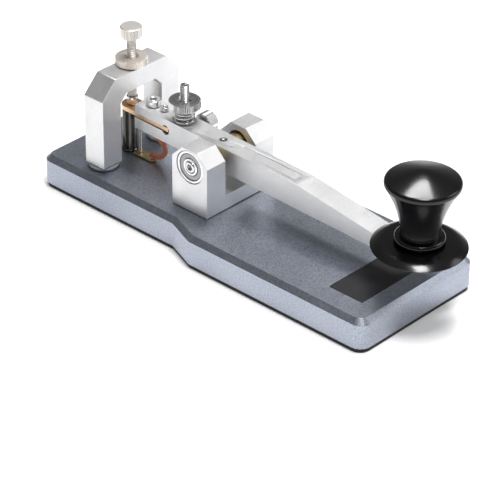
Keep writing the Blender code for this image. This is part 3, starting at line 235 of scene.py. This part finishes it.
MATERIALS = {
    "anodised_base": anodised(),
    "satin_aluminium": metal(
        "satin_aluminium", (0.87, 0.87, 0.875), 0.48, 0.45 * MM, 0.012 * MM, 0.16, dark=0.80
    ),
    "polished_steel": metal(
        "polished_steel", (0.74, 0.74, 0.745), 0.17, 0.5 * MM, 0.002 * MM, 0.09
    ),
    "warm_nickel": metal("warm_nickel", (0.92, 0.86, 0.79), 0.24, 0.4 * MM, 0.002 * MM, 0.10),
    "contact_silver": metal(
        "contact_silver", (0.90, 0.90, 0.88), 0.16, 0.3 * MM, 0.002 * MM, 0.08
    ),
    "brass": metal("brass", (0.78, 0.60, 0.33), 0.26, 0.4 * MM, 0.003 * MM, 0.12),
    "copper": metal(
        "copper", (1.0, 0.69, 0.44), 0.34, 0.25 * MM, 0.003 * MM, 0.12,
        streak=(1.0, 0.12, 1.0), dark=0.72,
    ),
    "copper_braid": metal(
        "copper_braid", (1.0, 0.40, 0.25), 0.32, 0.15 * MM, 0.004 * MM, 0.16, dark=0.55
    ),
    "black_rubber": plastic(
        "black_rubber", (0.012, 0.012, 0.012), 0.78, 0.35 * MM, 0.03 * MM
    ),
    "black_inlay": plastic(
        "black_inlay", (0.006, 0.006, 0.008), 0.50, 0.22 * MM, 0.008 * MM
    ),
    "black_lacquer": lacquer(),
    "clear_nylon": plastic(
        "clear_nylon", (0.22, 0.23, 0.25), 0.34, 0.8 * MM, 0.008 * MM, 1.12
    ),
    "red_insulation": plastic(
        "red_insulation", (0.50, 0.03, 0.025), 0.40, 0.5 * MM, 0.01 * MM, 1.15
    ),
    "black_insulation": plastic(
        "black_insulation", (0.018, 0.018, 0.018), 0.42, 0.4 * MM, 0.01 * MM
    ),
}


# ---------------------------------------------------------------- pieces


def finished(name, mesh, node, material=None, sharp=32.0):
    """A piece that stands for a CAD node: it rides on the node's body and takes its slot."""
    piece = bpy.data.objects.new(name, mesh)
    bpy.context.scene.collection.objects.link(piece)
    mesh.materials.clear()
    mesh.materials.append(material or MATERIALS[SLOT_OF[node]])
    mesh.shade_smooth()
    mesh.set_sharp_from_angle(angle=math.radians(sharp))
    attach(piece, BODY_OF[node])
    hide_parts(node)
    return piece


def cleaned_copy(node):
    """The CAD node's mesh, welded and with its flat faces joined up, as a new mesh."""
    mesh = frame["nodes"][node].data.copy()
    shape = bmesh.new()
    shape.from_mesh(mesh)
    bmesh.ops.remove_doubles(shape, verts=shape.verts, dist=0.002 * MM)
    bmesh.ops.dissolve_limit(
        shape, angle_limit=math.radians(0.5), verts=shape.verts, edges=shape.edges
    )
    shape.to_mesh(mesh)
    shape.free()
    return mesh


def carved(mesh, cutters):
    """The mesh with each cutter mesh taken out of it."""
    scene = bpy.context.scene.collection
    block = bpy.data.objects.new("block", mesh)
    scene.objects.link(block)
    tools = []
    for cutter in cutters:
        tool = bpy.data.objects.new("tool", cutter)
        scene.objects.link(tool)
        tools.append(tool)
        change = block.modifiers.new("cut", "BOOLEAN")
        change.operation = "DIFFERENCE"
        change.object = tool
        change.solver = "EXACT"
    view = bpy.context.evaluated_depsgraph_get()
    result = bpy.data.meshes.new_from_object(block.evaluated_get(view))
    for old in tools + [block]:
        bpy.data.objects.remove(old, do_unlink=True)
    return result


def soften(piece, width, segments=2, angle=32.0):
    edge = piece.modifiers.new("edge", "BEVEL")
    edge.width = width
    edge.segments = segments
    edge.limit_method = "ANGLE"
    edge.angle_limit = math.radians(angle)
    edge.harden_normals = False
    edge.use_clamp_overlap = True
    return piece


def softened(node, width, segments=2, material=None, angle=32.0):
    """The CAD node's own shape with broken edges."""
    piece = finished(f"{node}_detail", cleaned_copy(node), node, material)
    return soften(piece, width, segments, angle)


def from_rows(name, rows, closed_ends, wrap_rows=False):
    """A mesh from rows of points round an axis. Closed ends are filled with a fan."""
    shape = bmesh.new()
    made = [[shape.verts.new(point) for point in row] for row in rows]
    pairs = list(zip(made, made[1:]))
    if wrap_rows:
        pairs.append((made[-1], made[0]))
    for under, over in pairs:
        count = len(under)
        for place in range(count):
            after = (place + 1) % count
            shape.faces.new((under[place], under[after], over[after], over[place]))
    if closed_ends:
        for row in (made[0], made[-1]):
            centre = sum((vertex.co for vertex in row), Vector()) / len(row)
            hub = shape.verts.new(centre)
            for place, vertex in enumerate(row):
                shape.faces.new((vertex, row[(place + 1) % len(row)], hub))
    bmesh.ops.recalc_face_normals(shape, faces=shape.faces)
    mesh = bpy.data.meshes.new(name)
    shape.to_mesh(mesh)
    shape.free()
    return mesh


def lathe(name, profile, facets, matrix, cut=None):
    """A turned solid. The profile is (radius, height) from one end to the other.

    It starts and ends near the axis (filled), or is a closed ring when its ends meet.
    cut(index, angle) gives how far the surface at that profile row lies inside its radius."""
    ring = math.dist(profile[0], profile[-1]) < 1e-9
    outline = profile[:-1] if ring else profile
    rows = []
    for index, (radius, height) in enumerate(outline):
        row = []
        for step in range(facets):
            angle = 2 * math.pi * step / facets
            reach = radius - (cut(index, angle) if cut else 0.0)
            row.append(matrix @ Vector((reach * math.cos(angle), reach * math.sin(angle), height)))
        rows.append(row)
    return from_rows(name, rows, closed_ends=not ring, wrap_rows=ring)


def arc(centre, radii, start, end, steps):
    """Points on an elliptic arc of a profile, both ends included, angles in degrees."""
    made = []
    for step in range(steps + 1):
        angle = math.radians(start + (end - start) * step / steps)
        out = centre[0] + radii[0] * math.cos(angle)
        made.append((out, centre[1] + radii[1] * math.sin(angle)))
    return made


def saw(share):
    """0 at a crest, 1 at a root."""
    return 1.0 - abs(2.0 * (share % 1.0) - 1.0)


def thread_rows(radius, low, high, pitch, depth, matrix, facets=24, per_turn=11, ends=0.35 * MM):
    """Rows of a screw thread up the Z axis, run out at both ends."""
    count = max(2, round((high - low) / pitch * per_turn))
    rows = []
    for level in range(count + 1):
        height = low + (high - low) * level / count
        margin = min(height - low, high - height)
        crest = radius - max(0.0, ends - margin)
        row = []
        for step in range(facets):
            turn = step / facets
            flank = min(1.0, 1.25 * saw(height / pitch - turn))
            reach = min(crest, radius - depth * flank)
            angle = 2 * math.pi * turn
            row.append(matrix @ Vector((reach * math.cos(angle), reach * math.sin(angle), height)))
        rows.append(row)
    return rows


def tube(shape, points, radius, sides):
    """Adds a closed round tube along the points to a bmesh."""
    rows = []
    count = len(points)
    normal = None
    for index, point in enumerate(points):
        ahead = points[min(index + 1, count - 1)] - points[max(index - 1, 0)]
        ahead.normalize()
        if normal is None:
            guess = Vector((0, 0, 1)) if abs(ahead.z) < 0.9 else Vector((1, 0, 0))
            normal = guess.cross(ahead).normalized()
        normal = (normal - ahead * normal.dot(ahead)).normalized()
        side = ahead.cross(normal)
        rows.append([
            shape.verts.new(point + radius * (math.cos(2 * math.pi * k / sides) * normal
                                              + math.sin(2 * math.pi * k / sides) * side))
            for k in range(sides)
        ])
    for under, over in zip(rows, rows[1:]):
        for place in range(sides):
            after = (place + 1) % sides
            shape.faces.new((under[place], under[after], over[after], over[place]))
    shape.faces.new(list(reversed(rows[0])))
    shape.faces.new(rows[-1])


def rod(radius, low, high, facets, matrix):
    profile = [(radius, low), (radius, high)]
    return lathe("rod", profile, facets, matrix)


def block(size, matrix):
    shape = bmesh.new()
    bmesh.ops.create_cube(shape, size=1.0)
    bmesh.ops.scale(shape, vec=Vector(size), verts=shape.verts)
    bmesh.ops.transform(shape, matrix=matrix, verts=shape.verts)
    mesh = bpy.data.meshes.new("block")
    shape.to_mesh(mesh)
    shape.free()
    return mesh


def upright(centre, height=0.0):
    return Matrix.Translation((centre.x, centre.y, height))


# ---------------------------------------------------------------- plate, yoke and bridge

softened("base_plate", 0.22 * MM, 2, angle=30.0)
softened("finger_rest_inlay", 0.15 * MM)
softened("anti_slip_mat", 0.25 * MM)
softened("pivot_yoke", 0.28 * MM, 3)
softened("contact_bridge", 0.30 * MM, 3)

for side_word in ("left", "right"):
    for ring in ("outer", "inner"):
        node = f"bearing_{ring}_race_{side_word}"
        marks = (middle(node), "X")
        steel = metal(
            f"race_{ring}_{side_word}", (0.90, 0.90, 0.905), 0.26, 0.16 * MM, 0.002 * MM, 0.08,
            marks=marks,
        )
        softened(node, 0.22 * MM, 2, steel)
    node = f"bearing_shield_{side_word}"
    steel = metal(
        f"shield_{side_word}", (0.34, 0.34, 0.345), 0.28, 0.22 * MM, 0.004 * MM, 0.12,
        marks=(middle(node), "X"),
    )
    softened(node, 0.12 * MM, 2, steel)
    softened(f"axle_spacer_{side_word}", 0.20 * MM)
    softened(f"bridge_washer_{side_word}", 0.25 * MM, 3)
    softened(f"yoke_screw_{side_word}", 0.15 * MM)
    softened(f"bridge_screw_{side_word}", 0.15 * MM)
softened("pivot_axle", 0.15 * MM)
softened("terminal_tag", 0.12 * MM)
softened("terminal_pin", 0.20 * MM)
softened("socket_ring_nut", 0.25 * MM)
softened("key_lead_socket", 0.20 * MM)
softened("spring_cap", 0.18 * MM)


# ---------------------------------------------------------------- lever and what it carries

GROOVE_HALF = 2.3 * MM
GROOVE_DEPTH = 0.25 * MM
GROOVE_REAR = -9.5 * MM
GROOVE_FRONT = -40.5 * MM
LEVER_TOP = 4.8 * MM
groove_length = GROOVE_REAR - GROOVE_FRONT
groove = block(
    (2 * GROOVE_HALF, groove_length, 2 * GROOVE_DEPTH),
    LEVER @ Matrix.Translation((0.0, (GROOVE_REAR + GROOVE_FRONT) / 2, LEVER_TOP)),
)
dot = rod(0.45 * MM, LEVER_TOP - 1.0 * MM, LEVER_TOP + 1.0 * MM, 16,
          LEVER @ Matrix.Translation((-1.5 * MM, -6.2 * MM, 0.0)))
lever_mesh = carved(cleaned_copy("lever_arm"), [groove, dot])
soften(finished("lever_arm_detail", lever_mesh, "lever_arm"), 0.22 * MM)

softened("contact_blade", 0.25 * MM, 3)
softened("blade_contact", 0.25 * MM, 3)
softened("blade_clamp_screw", 0.30 * MM, 3)
softened("blade_lock_screw", 0.20 * MM, 2)
softened("axle_set_screw", 0.12 * MM)
softened("knob_screw", 0.20 * MM)
softened("contact_tip", 0.25 * MM, 3)


FACETS_PER_RIB = 6


def knurled(name, node, profile, ribbed, ribs, depth, matrix, marks_axis="Z"):
    """A turned piece with straight ribs on the profile rows named in ribbed."""

    def cut(index, angle):
        if index not in ribbed:
            return 0.0
        return depth * saw(angle * ribs / (2 * math.pi)) * ribbed[index]

    mesh = lathe(name, profile, ribs * FACETS_PER_RIB, matrix, cut)
    slot = SLOT_OF[node]
    colour = {"polished_steel": (0.66, 0.66, 0.665), "warm_nickel": (0.96, 0.90, 0.83)}[slot]
    gloss = {"polished_steel": 0.24, "warm_nickel": 0.48}[slot]
    look = metal(
        f"{name}_metal", colour, gloss, 0.14 * MM, 0.003 * MM, 0.12,
        marks=(middle(node), marks_axis),
    )
    return finished(name, mesh, node, look, sharp=24.0)


NUT_RIBS = 42
NUT_RIB_DEPTH = 0.45 * MM
NUT_SINK_RADIUS = 2.8 * MM


def knurled_nut(node, bore_radius):
    low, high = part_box(node)
    radius = (high.x - low.x) / 2
    thickness = high.z - low.z
    edge = 0.40 * MM
    sink_depth = 0.9 * MM
    profile = [
        (bore_radius, 0.3 * MM),
        (bore_radius + 0.3 * MM, 0.0),
        (radius - 2.2 * edge, 0.0),
        (radius - edge, 0.06 * MM),
        (radius, edge),
        (radius, thickness - edge),
        (radius - edge, thickness - 0.06 * MM),
        (radius - 2.2 * edge, thickness),
        (NUT_SINK_RADIUS + 0.12 * MM, thickness),
        (NUT_SINK_RADIUS, thickness - 0.1 * MM),
        (bore_radius, thickness - sink_depth),
        (bore_radius, 0.3 * MM),
    ]
    ribbed = {3: 0.45, 4: 1.0, 5: 1.0, 6: 0.45}
    knurled(f"{node}_detail", node, profile, ribbed, NUT_RIBS, NUT_RIB_DEPTH,
            upright(middle(node), low.z))


knurled_nut("contact_lock_nut", 2.15 * MM)
knurled_nut("tension_nut", 2.2 * MM)


# Contact screw: ribbed head on a threaded shank
screw_low, screw_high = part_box("contact_screw")
head_radius = (screw_high.x - screw_low.x) / 2
HEAD_HEIGHT = 5.0 * MM
SHANK_RADIUS = 1.95 * MM
PITCH = 0.95 * MM
THREAD_DEPTH = 0.52 * MM
head_low = screw_high.z - HEAD_HEIGHT
shank = upright(middle("contact_screw"))
head_profile = [
    (SHANK_RADIUS - 0.3 * MM, 0.0),
    (head_radius - 0.7 * MM, 0.0),
    (head_radius - 0.25 * MM, 0.25 * MM),
    (head_radius, 0.55 * MM),
    (head_radius, HEAD_HEIGHT - 0.95 * MM),
    (head_radius, HEAD_HEIGHT - 0.55 * MM),
    (head_radius, HEAD_HEIGHT - 0.3 * MM),
    (head_radius - 0.3 * MM, HEAD_HEIGHT),
    (head_radius - 1.2 * MM, HEAD_HEIGHT),
]
HEAD_RIBS = 20
HEAD_RIB_DEPTH = 0.60 * MM
rib_share = {2: 0.6, 3: 1.0, 4: 1.0}


def head_cut(index, angle):
    """Ribs with flat crests and flat roots."""
    share = saw(angle * HEAD_RIBS / (2 * math.pi))
    groove_share = min(1.0, max(0.0, (share - 0.3) * 2.6))
    return HEAD_RIB_DEPTH * rib_share.get(index, 0.0) * groove_share


def joined(name, meshes):
    shape = bmesh.new()
    for mesh in meshes:
        shape.from_mesh(mesh)
    made = bpy.data.meshes.new(name)
    shape.to_mesh(made)
    shape.free()
    return made


head_place = shank @ Matrix.Translation((0, 0, head_low))
head = lathe("head", head_profile, HEAD_RIBS * 8, head_place, head_cut)
thread_high = head_low + 0.5 * MM  # it runs a little way into the head
rows = thread_rows(SHANK_RADIUS, screw_low.z, thread_high, PITCH, THREAD_DEPTH, shank)
thread = from_rows("thread", rows, True)
nickel = metal("contact_screw_metal", (0.93, 0.89, 0.85), 0.48, 0.14 * MM, 0.003 * MM, 0.12,
               marks=(middle("contact_screw"), "Z"))
screw_mesh = joined("contact_screw", [head, thread])
finished("contact_screw_detail", screw_mesh, "contact_screw", nickel, sharp=24.0)

# Tension stud: threaded rod with a slot across its top
stud_low, stud_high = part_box("tension_stud")
STUD_RADIUS = 2.0 * MM
rows = thread_rows(
    STUD_RADIUS, stud_low.z, stud_high.z, PITCH, THREAD_DEPTH, upright(STUD_AXIS)
)
stud_mesh = from_rows("stud", rows, True)
slot_cutter = block((6.0 * MM, 0.8 * MM, 2.0 * MM), upright(STUD_AXIS, stud_high.z))
finished("tension_stud_detail", carved(stud_mesh, [slot_cutter]), "tension_stud", sharp=24.0)

# Side thumb screw, on the lever's far side, with its axis along X
side_low, side_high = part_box("side_thumb_screw")
along_x = Matrix.Translation((0.0, SIDE_AXIS.y, SIDE_AXIS.z))
along_x = along_x @ Matrix.Rotation(math.radians(90.0), 4, "Y")
SIDE_HEAD = 5.4 * MM
SIDE_RIBS = 44
SIDE_RIB_DEPTH = 0.30 * MM
side_radius = (side_high.y - side_low.y) / 2
near = side_high.x - SIDE_HEAD
side_profile = [
    (1.4 * MM, side_low.x),
    (1.5 * MM, side_low.x + 0.1 * MM),
    (1.5 * MM, near),
    (side_radius - 0.6 * MM, near),
    (side_radius, near + 0.5 * MM),
    (side_radius, side_high.x - 0.5 * MM),
    (side_radius - 0.6 * MM, side_high.x),
    (1.0 * MM, side_high.x),
]
knurled("side_thumb_screw_detail", "side_thumb_screw", side_profile, {4: 1.0, 5: 1.0},
        SIDE_RIBS, SIDE_RIB_DEPTH, along_x, marks_axis="X")

# Rest post: polished, with a rim at its foot
post_low, post_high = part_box("rest_post")
post_radius = 3.0 * MM
foot_radius = (post_high.x - post_low.x) / 2
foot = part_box("terminal_tag")[0].z - post_low.z
post_height = post_high.z - post_low.z
post_profile = [
    (1.4 * MM, 0.0),
    (1.5 * MM, 0.1 * MM),
    (1.5 * MM, foot),
    (foot_radius - 0.1 * MM, foot),
    (foot_radius, foot + 0.12 * MM),
    (foot_radius, foot + 0.42 * MM),
    (foot_radius - 0.18 * MM, foot + 0.62 * MM),
    (post_radius + 0.1 * MM, foot + 0.78 * MM),
    (post_radius, foot + 1.0 * MM),
    (post_radius, post_height - 0.5 * MM),
    (post_radius - 0.15 * MM, post_height - 0.15 * MM),
    (post_radius - 0.5 * MM, post_height),
]
chrome = metal("post_chrome", (0.10, 0.095, 0.088), 0.13, 0.3 * MM, 0.001 * MM, 0.05,
               marks=(middle("rest_post"), "Z"))
post_mesh = lathe("post", post_profile, 64, upright(middle("rest_post"), post_low.z))
finished("rest_post_detail", post_mesh, "rest_post", chrome)


# ---------------------------------------------------------------- spring and braid

spring_low, spring_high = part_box("tension_spring")
WIRE = 0.5 * MM
FOOT_GAP = 0.35 * MM  # what the lever may rise under the first coil
SPRING_RADIUS = 3.85 * MM
SPRING_TURNS = 3.0
DEAD_SHARE = 0.2  # of the turns, at each end, that lie flat
SPRING_STEPS = 144
wire_low = spring_low.z + FOOT_GAP + WIRE
wire_rise = spring_high.z - spring_low.z - FOOT_GAP - 2 * WIRE
route = []
for step in range(SPRING_STEPS + 1):
    share = step / SPRING_STEPS
    rise = min(1.0, max(0.0, (share - DEAD_SHARE) / (1.0 - 2 * DEAD_SHARE)))
    rise = rise * rise * (3 - 2 * rise) * 0.5 + rise * 0.5
    angle = 2 * math.pi * SPRING_TURNS * share
    route.append(Vector((
        STUD_AXIS.x + SPRING_RADIUS * math.cos(angle),
        STUD_AXIS.y + SPRING_RADIUS * math.sin(angle),
        wire_low + wire_rise * rise,
    )))
shape = bmesh.new()
tube(shape, route, WIRE, 12)
bmesh.ops.recalc_face_normals(shape, faces=shape.faces)
spring_mesh = bpy.data.meshes.new("spring")
shape.to_mesh(spring_mesh)
shape.free()


def blended(name, mesh, node, material):
    """A piece in world space that rides on no body: it takes the given material, and its CAD node
    is hidden.
    """
    piece = bpy.data.objects.new(name, mesh)
    bpy.context.scene.collection.objects.link(piece)
    mesh.materials.append(material)
    mesh.shade_smooth()
    mesh.set_sharp_from_angle(angle=math.radians(50.0))
    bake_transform(piece)
    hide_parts(node)


spring_steel = metal("spring_steel", (0.70, 0.70, 0.71), 0.11, 0.3 * MM, 0.001 * MM, 0.06)
blended(
    "tension_spring_detail", spring_mesh, "tension_spring", spring_steel,
)

# Braid: a woven tube on the route of its CAD node
tag_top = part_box("terminal_tag")[1].z
LEVER_BOTTOM = -6.0 * MM
ANCHOR_Y = 42.2 * MM
BRAID_RADIUS = 1.2 * MM
SEAT_GAP = 0.3 * MM
inside = LEVER @ Vector((0.0, ANCHOR_Y, LEVER_BOTTOM + 1.9 * MM))
mouth = LEVER @ Vector((0.0, ANCHOR_Y, LEVER_BOTTOM - SEAT_GAP))
landing = tag_top + SEAT_GAP + BRAID_RADIUS
drop = mouth.z - landing
corners = [inside, mouth] + [
    Vector((across * MM, mouth.y - forward * MM, landing + share * drop))
    for across, forward, share in (
        (-0.1, 0.9, 0.84), (-0.3, 4.6, 0.77), (-0.4, 8.6, 0.66), (-0.5, 10.4, 0.42),
        (-0.5, 9.2, 0.17), (-0.5, 6.2, 0.02), (-0.5, 2.2, 0.0),
    )
]


def smooth_route(places, steps):
    """Points on a smooth curve (Catmull-Rom) through the places, steps to each span."""
    padded = [2 * places[0] - places[1]] + places + [2 * places[-1] - places[-2]]
    made = []
    for first in range(len(places) - 1):
        before, start, end, after = padded[first : first + 4]
        for step in range(steps):
            t = step / steps
            made.append(0.5 * (2 * start + (end - before) * t
                               + (2 * before - 5 * start + 4 * end - after) * t**2
                               + (3 * start - before - 3 * end + after) * t**3))
    return made + [places[-1]]


route = smooth_route(corners, 22)
STRANDS = 9
WOUND_RADIUS = 0.86 * MM
STRAND_RADIUS = 0.20 * MM
WEAVE = 0.10 * MM
TURNS = 5.5
frames = []
normal = Vector((1, 0, 0))
for index, point in enumerate(route):
    ahead = (route[min(index + 1, len(route) - 1)] - route[max(index - 1, 0)]).normalized()
    normal = (normal - ahead * normal.dot(ahead)).normalized()
    frames.append((point, normal.copy(), ahead.cross(normal)))
shape = bmesh.new()
for direction in (-1, 1):
    for strand in range(STRANDS):
        points = []
        for index, (point, normal, side) in enumerate(frames):
            turn = direction * TURNS * index / len(frames) + strand / STRANDS
            angle = 2 * math.pi * turn
            over = direction * math.cos(math.pi * STRANDS * 2 * TURNS * index / len(frames))
            reach = WOUND_RADIUS + WEAVE * over
            points.append(point + reach * (math.cos(angle) * normal + math.sin(angle) * side))
        tube(shape, points, STRAND_RADIUS, 5)
bmesh.ops.recalc_face_normals(shape, faces=shape.faces)
braid_mesh = bpy.data.meshes.new("braid")
shape.to_mesh(braid_mesh)
shape.free()
blended(
    "flexible_braid_detail", braid_mesh, "flexible_braid", MATERIALS["copper_braid"],
)


# ---------------------------------------------------------------- finger knob

KNOB_FACETS = 128
KNOB_Y = -102.0 * MM
SKIRT_LINE = 1.3 * MM
SKIRT_RADIUS = 18.75 * MM
SKIRT_BELOW = 0.6 * MM
SKIRT_ABOVE = 2.1 * MM
SKIRT_FLAT = 15.1 * MM
BAND_STEPS = 14
BAND_POWER = 1.25  # 1 is a plain cone, 2 a full round
BAND_SPREAD = 0.92  # below 1 its steps crowd towards the rim
BAND_LIP = 0.06  # of the height, where the band meets the flat
SCREW_BORE = 2.2 * MM
knob_frame = LEVER @ Matrix.Translation((0.0, KNOB_Y, SKIRT_LINE))
skirt_profile = [(SCREW_BORE, -SKIRT_BELOW), (SKIRT_RADIUS - SKIRT_BELOW, -SKIRT_BELOW)]
skirt_profile += arc((SKIRT_RADIUS - SKIRT_BELOW, 0.0), (SKIRT_BELOW, SKIRT_BELOW), -80.0, -10.0, 6)
for step in range(BAND_STEPS + 1):
    share = 1.0 - step / BAND_STEPS
    drop = SKIRT_ABOVE * (BAND_LIP + (1.0 - BAND_LIP) * share**BAND_POWER)
    reach = SKIRT_FLAT + (SKIRT_RADIUS - SKIRT_FLAT) * share**BAND_SPREAD
    skirt_profile.append((reach, SKIRT_ABOVE - drop))
skirt_profile += [
    (SKIRT_FLAT - 0.2 * MM, SKIRT_ABOVE - 0.02 * MM),
    (SKIRT_FLAT - 0.6 * MM, SKIRT_ABOVE),
    (SCREW_BORE, SKIRT_ABOVE),
    (SCREW_BORE, -SKIRT_BELOW),
]
skirt_mesh = lathe("skirt", skirt_profile, KNOB_FACETS, knob_frame)
finished("knob_skirt_detail", skirt_mesh, "knob_skirt", sharp=50.0)

FOOT = SKIRT_ABOVE + SEAT_GAP
ROLL = 1.35 * MM
RING_RADIUS = 10.0 * MM
NECK_RADIUS = 7.9 * MM
CAP_RADIUS = 14.85 * MM
CAP_LINE = 27.6 * MM
CROWN = 32.8 * MM
RIM_LOW = CAP_LINE - 0.9 * MM
RIM_HIGH = CAP_LINE + 1.2 * MM
RIM_RADIUS = CAP_RADIUS - 0.25 * MM
BORE_DEPTH = 12.0 * MM
grip_profile = [(SCREW_BORE, FOOT + BORE_DEPTH), (SCREW_BORE, FOOT)]
grip_profile += arc((RING_RADIUS - ROLL, FOOT + ROLL), (ROLL, ROLL), -90.0, 75.0, 14)
NECK_STEPS = 40
FLARE_POWER = 1.75  # 1 is a plain cone from neck to rim
neck_low = FOOT + 2 * ROLL + 2.0 * MM
for step in range(NECK_STEPS + 1):
    share = 1 - step / NECK_STEPS
    radius = NECK_RADIUS + (RIM_RADIUS - NECK_RADIUS) * (1 - share) ** FLARE_POWER
    height = RIM_LOW - (RIM_LOW - neck_low) * share
    if step == 0:
        grip_profile.append((NECK_RADIUS, FOOT + 2 * ROLL - 0.1 * MM))
    grip_profile.append((radius, height))
grip_profile += [
    (CAP_RADIUS - 0.08 * MM, RIM_LOW + 0.25 * MM),
    (CAP_RADIUS, CAP_LINE - 0.2 * MM),
    (CAP_RADIUS, CAP_LINE + 0.3 * MM),
    (CAP_RADIUS - 0.10 * MM, RIM_HIGH - 0.4 * MM),
]
DOME_POWER = 1.18
DOME_NOSE = 0.2  # how far out the crown stays rounded
DOME_STEPS = 40
crown_share = DOME_NOSE**DOME_POWER
for step in range(1, DOME_STEPS + 1):
    share = 1.0 - step / DOME_STEPS
    fall = (share**2 + DOME_NOSE**2) ** (DOME_POWER / 2) - crown_share
    fall /= (1.0 + DOME_NOSE**2) ** (DOME_POWER / 2) - crown_share
    grip_profile.append((RIM_RADIUS * share, RIM_HIGH + (CROWN - RIM_HIGH) * (1 - fall)))
grip_mesh = lathe("grip", grip_profile, KNOB_FACETS, knob_frame)
finished("knob_grip_detail", grip_mesh, "knob_grip", sharp=42.0)


# ---------------------------------------------------------------- the rest of the frame

for name, node_object in frame["nodes"].items():
    for place in node_object.material_slots:
        place.material = MATERIALS[SLOT_OF[name]]


# ---------------------------------------------------------------- studio

FLOOR = 3.0  # half its side
PAPER_GLOW = 0.19  # keeps the backdrop white where the panels don't reach
shape = bmesh.new()
for x, y in ((-FLOOR, -FLOOR), (FLOOR, -FLOOR), (FLOOR, FLOOR), (-FLOOR, FLOOR)):
    shape.verts.new((x, y, 0.0))
shape.faces.new(shape.verts)
floor_mesh = bpy.data.meshes.new("floor")
shape.to_mesh(floor_mesh)
shape.free()
floor = bpy.data.objects.new("studio_floor", floor_mesh)
bpy.context.scene.collection.objects.link(floor)
paper = Recipe("studio_paper")
paper.set(Base_Color=(0.93, 0.93, 0.935, 1.0), Roughness=0.9)
paper.shader.inputs["Specular IOR Level"].default_value = 0.0
paper.shader.inputs["Emission Color"].default_value = (1.0, 1.0, 1.0, 1.0)
paper.shader.inputs["Emission Strength"].default_value = PAPER_GLOW
floor_mesh.materials.append(paper.made)

world = bpy.data.worlds.new("studio")
bpy.context.scene.world = world
world.use_nodes = True
sky = world.node_tree
ground = sky.nodes["Background"]
direction = sky.nodes.new("ShaderNodeTexCoord")
split = sky.nodes.new("ShaderNodeSeparateXYZ")
ramp = sky.nodes.new("ShaderNodeValToRGB")
sky.links.new(direction.outputs["Generated"], split.inputs["Vector"])
sky.links.new(split.outputs["Z"], ramp.inputs["Fac"])
sky.links.new(ramp.outputs["Color"], ground.inputs["Color"])
# Brightness of the surroundings: 0 to the horizon and below, 1 straight overhead
LEVELS = ((0.0, 0.30), (0.25, 0.20), (0.60, 0.16), (0.85, 0.30), (1.0, 0.35))
while len(ramp.color_ramp.elements) < len(LEVELS):
    ramp.color_ramp.elements.new(0.5)
SKY_STRENGTH = 2.5
for stop, (height, level) in zip(ramp.color_ramp.elements, LEVELS):
    stop.position = height
    stop.color = rgb(1.0, 1.0, 1.0, level / SKY_STRENGTH)
ground.inputs["Strength"].default_value = SKY_STRENGTH


def softbox(name, place, aim, size, power):
    lamp = bpy.data.lights.new(name, "AREA")
    lamp.shape = "RECTANGLE"
    lamp.size, lamp.size_y = size
    lamp.energy = power
    holder = bpy.data.objects.new(name, lamp)
    bpy.context.scene.collection.objects.link(holder)
    holder.location = place
    holder.rotation_euler = (Vector(aim) - Vector(place)).to_track_quat("-Z", "Y").to_euler()


softbox("right_panel", (0.75, -0.62, 0.68), (0.0, -0.03, 0.02), (0.55, 0.5), 2.2)
softbox("back_panel", (0.253, 0.16, 0.94), (0.0, -0.09, 0.04), (0.38, 0.16), 4.5)
softbox("near_panel", (-0.07, -0.23, 0.98), (0.0, -0.09, 0.0), (0.26, 0.28), 6.9)

# Camera: a long lens from the front left, above
AZIMUTH = math.radians(-47.19)
ELEVATION = math.radians(31.92)
ROLL_ANGLE = math.radians(0.43)
TARGET = Vector((-18.56 * MM, -10.095 * MM, 10.0 * MM))
DISTANCE = 1100.25 * MM
LENS = 202.05504  # millimetres, on a sensor of SENSOR millimetres
SENSOR = 36.0
back = Vector((
    math.sin(AZIMUTH) * math.cos(ELEVATION),
    -math.cos(AZIMUTH) * math.cos(ELEVATION),
    math.sin(ELEVATION),
))
right = (-back).cross(Vector((0, 0, 1))).normalized()
over = right.cross(-back)
across = math.cos(ROLL_ANGLE) * right + math.sin(ROLL_ANGLE) * over
upward = -math.sin(ROLL_ANGLE) * right + math.cos(ROLL_ANGLE) * over
lens = bpy.data.cameras.new("camera")
lens.sensor_width = SENSOR
lens.lens = LENS
lens.clip_end = 20.0
camera = bpy.data.objects.new("camera", lens)
bpy.context.scene.collection.objects.link(camera)
turn = Matrix((across, upward, back)).transposed().to_4x4()
camera.matrix_world = Matrix.Translation(TARGET + DISTANCE * back) @ turn
bpy.context.scene.camera = camera
bpy.context.scene.view_settings.view_transform = "Standard"
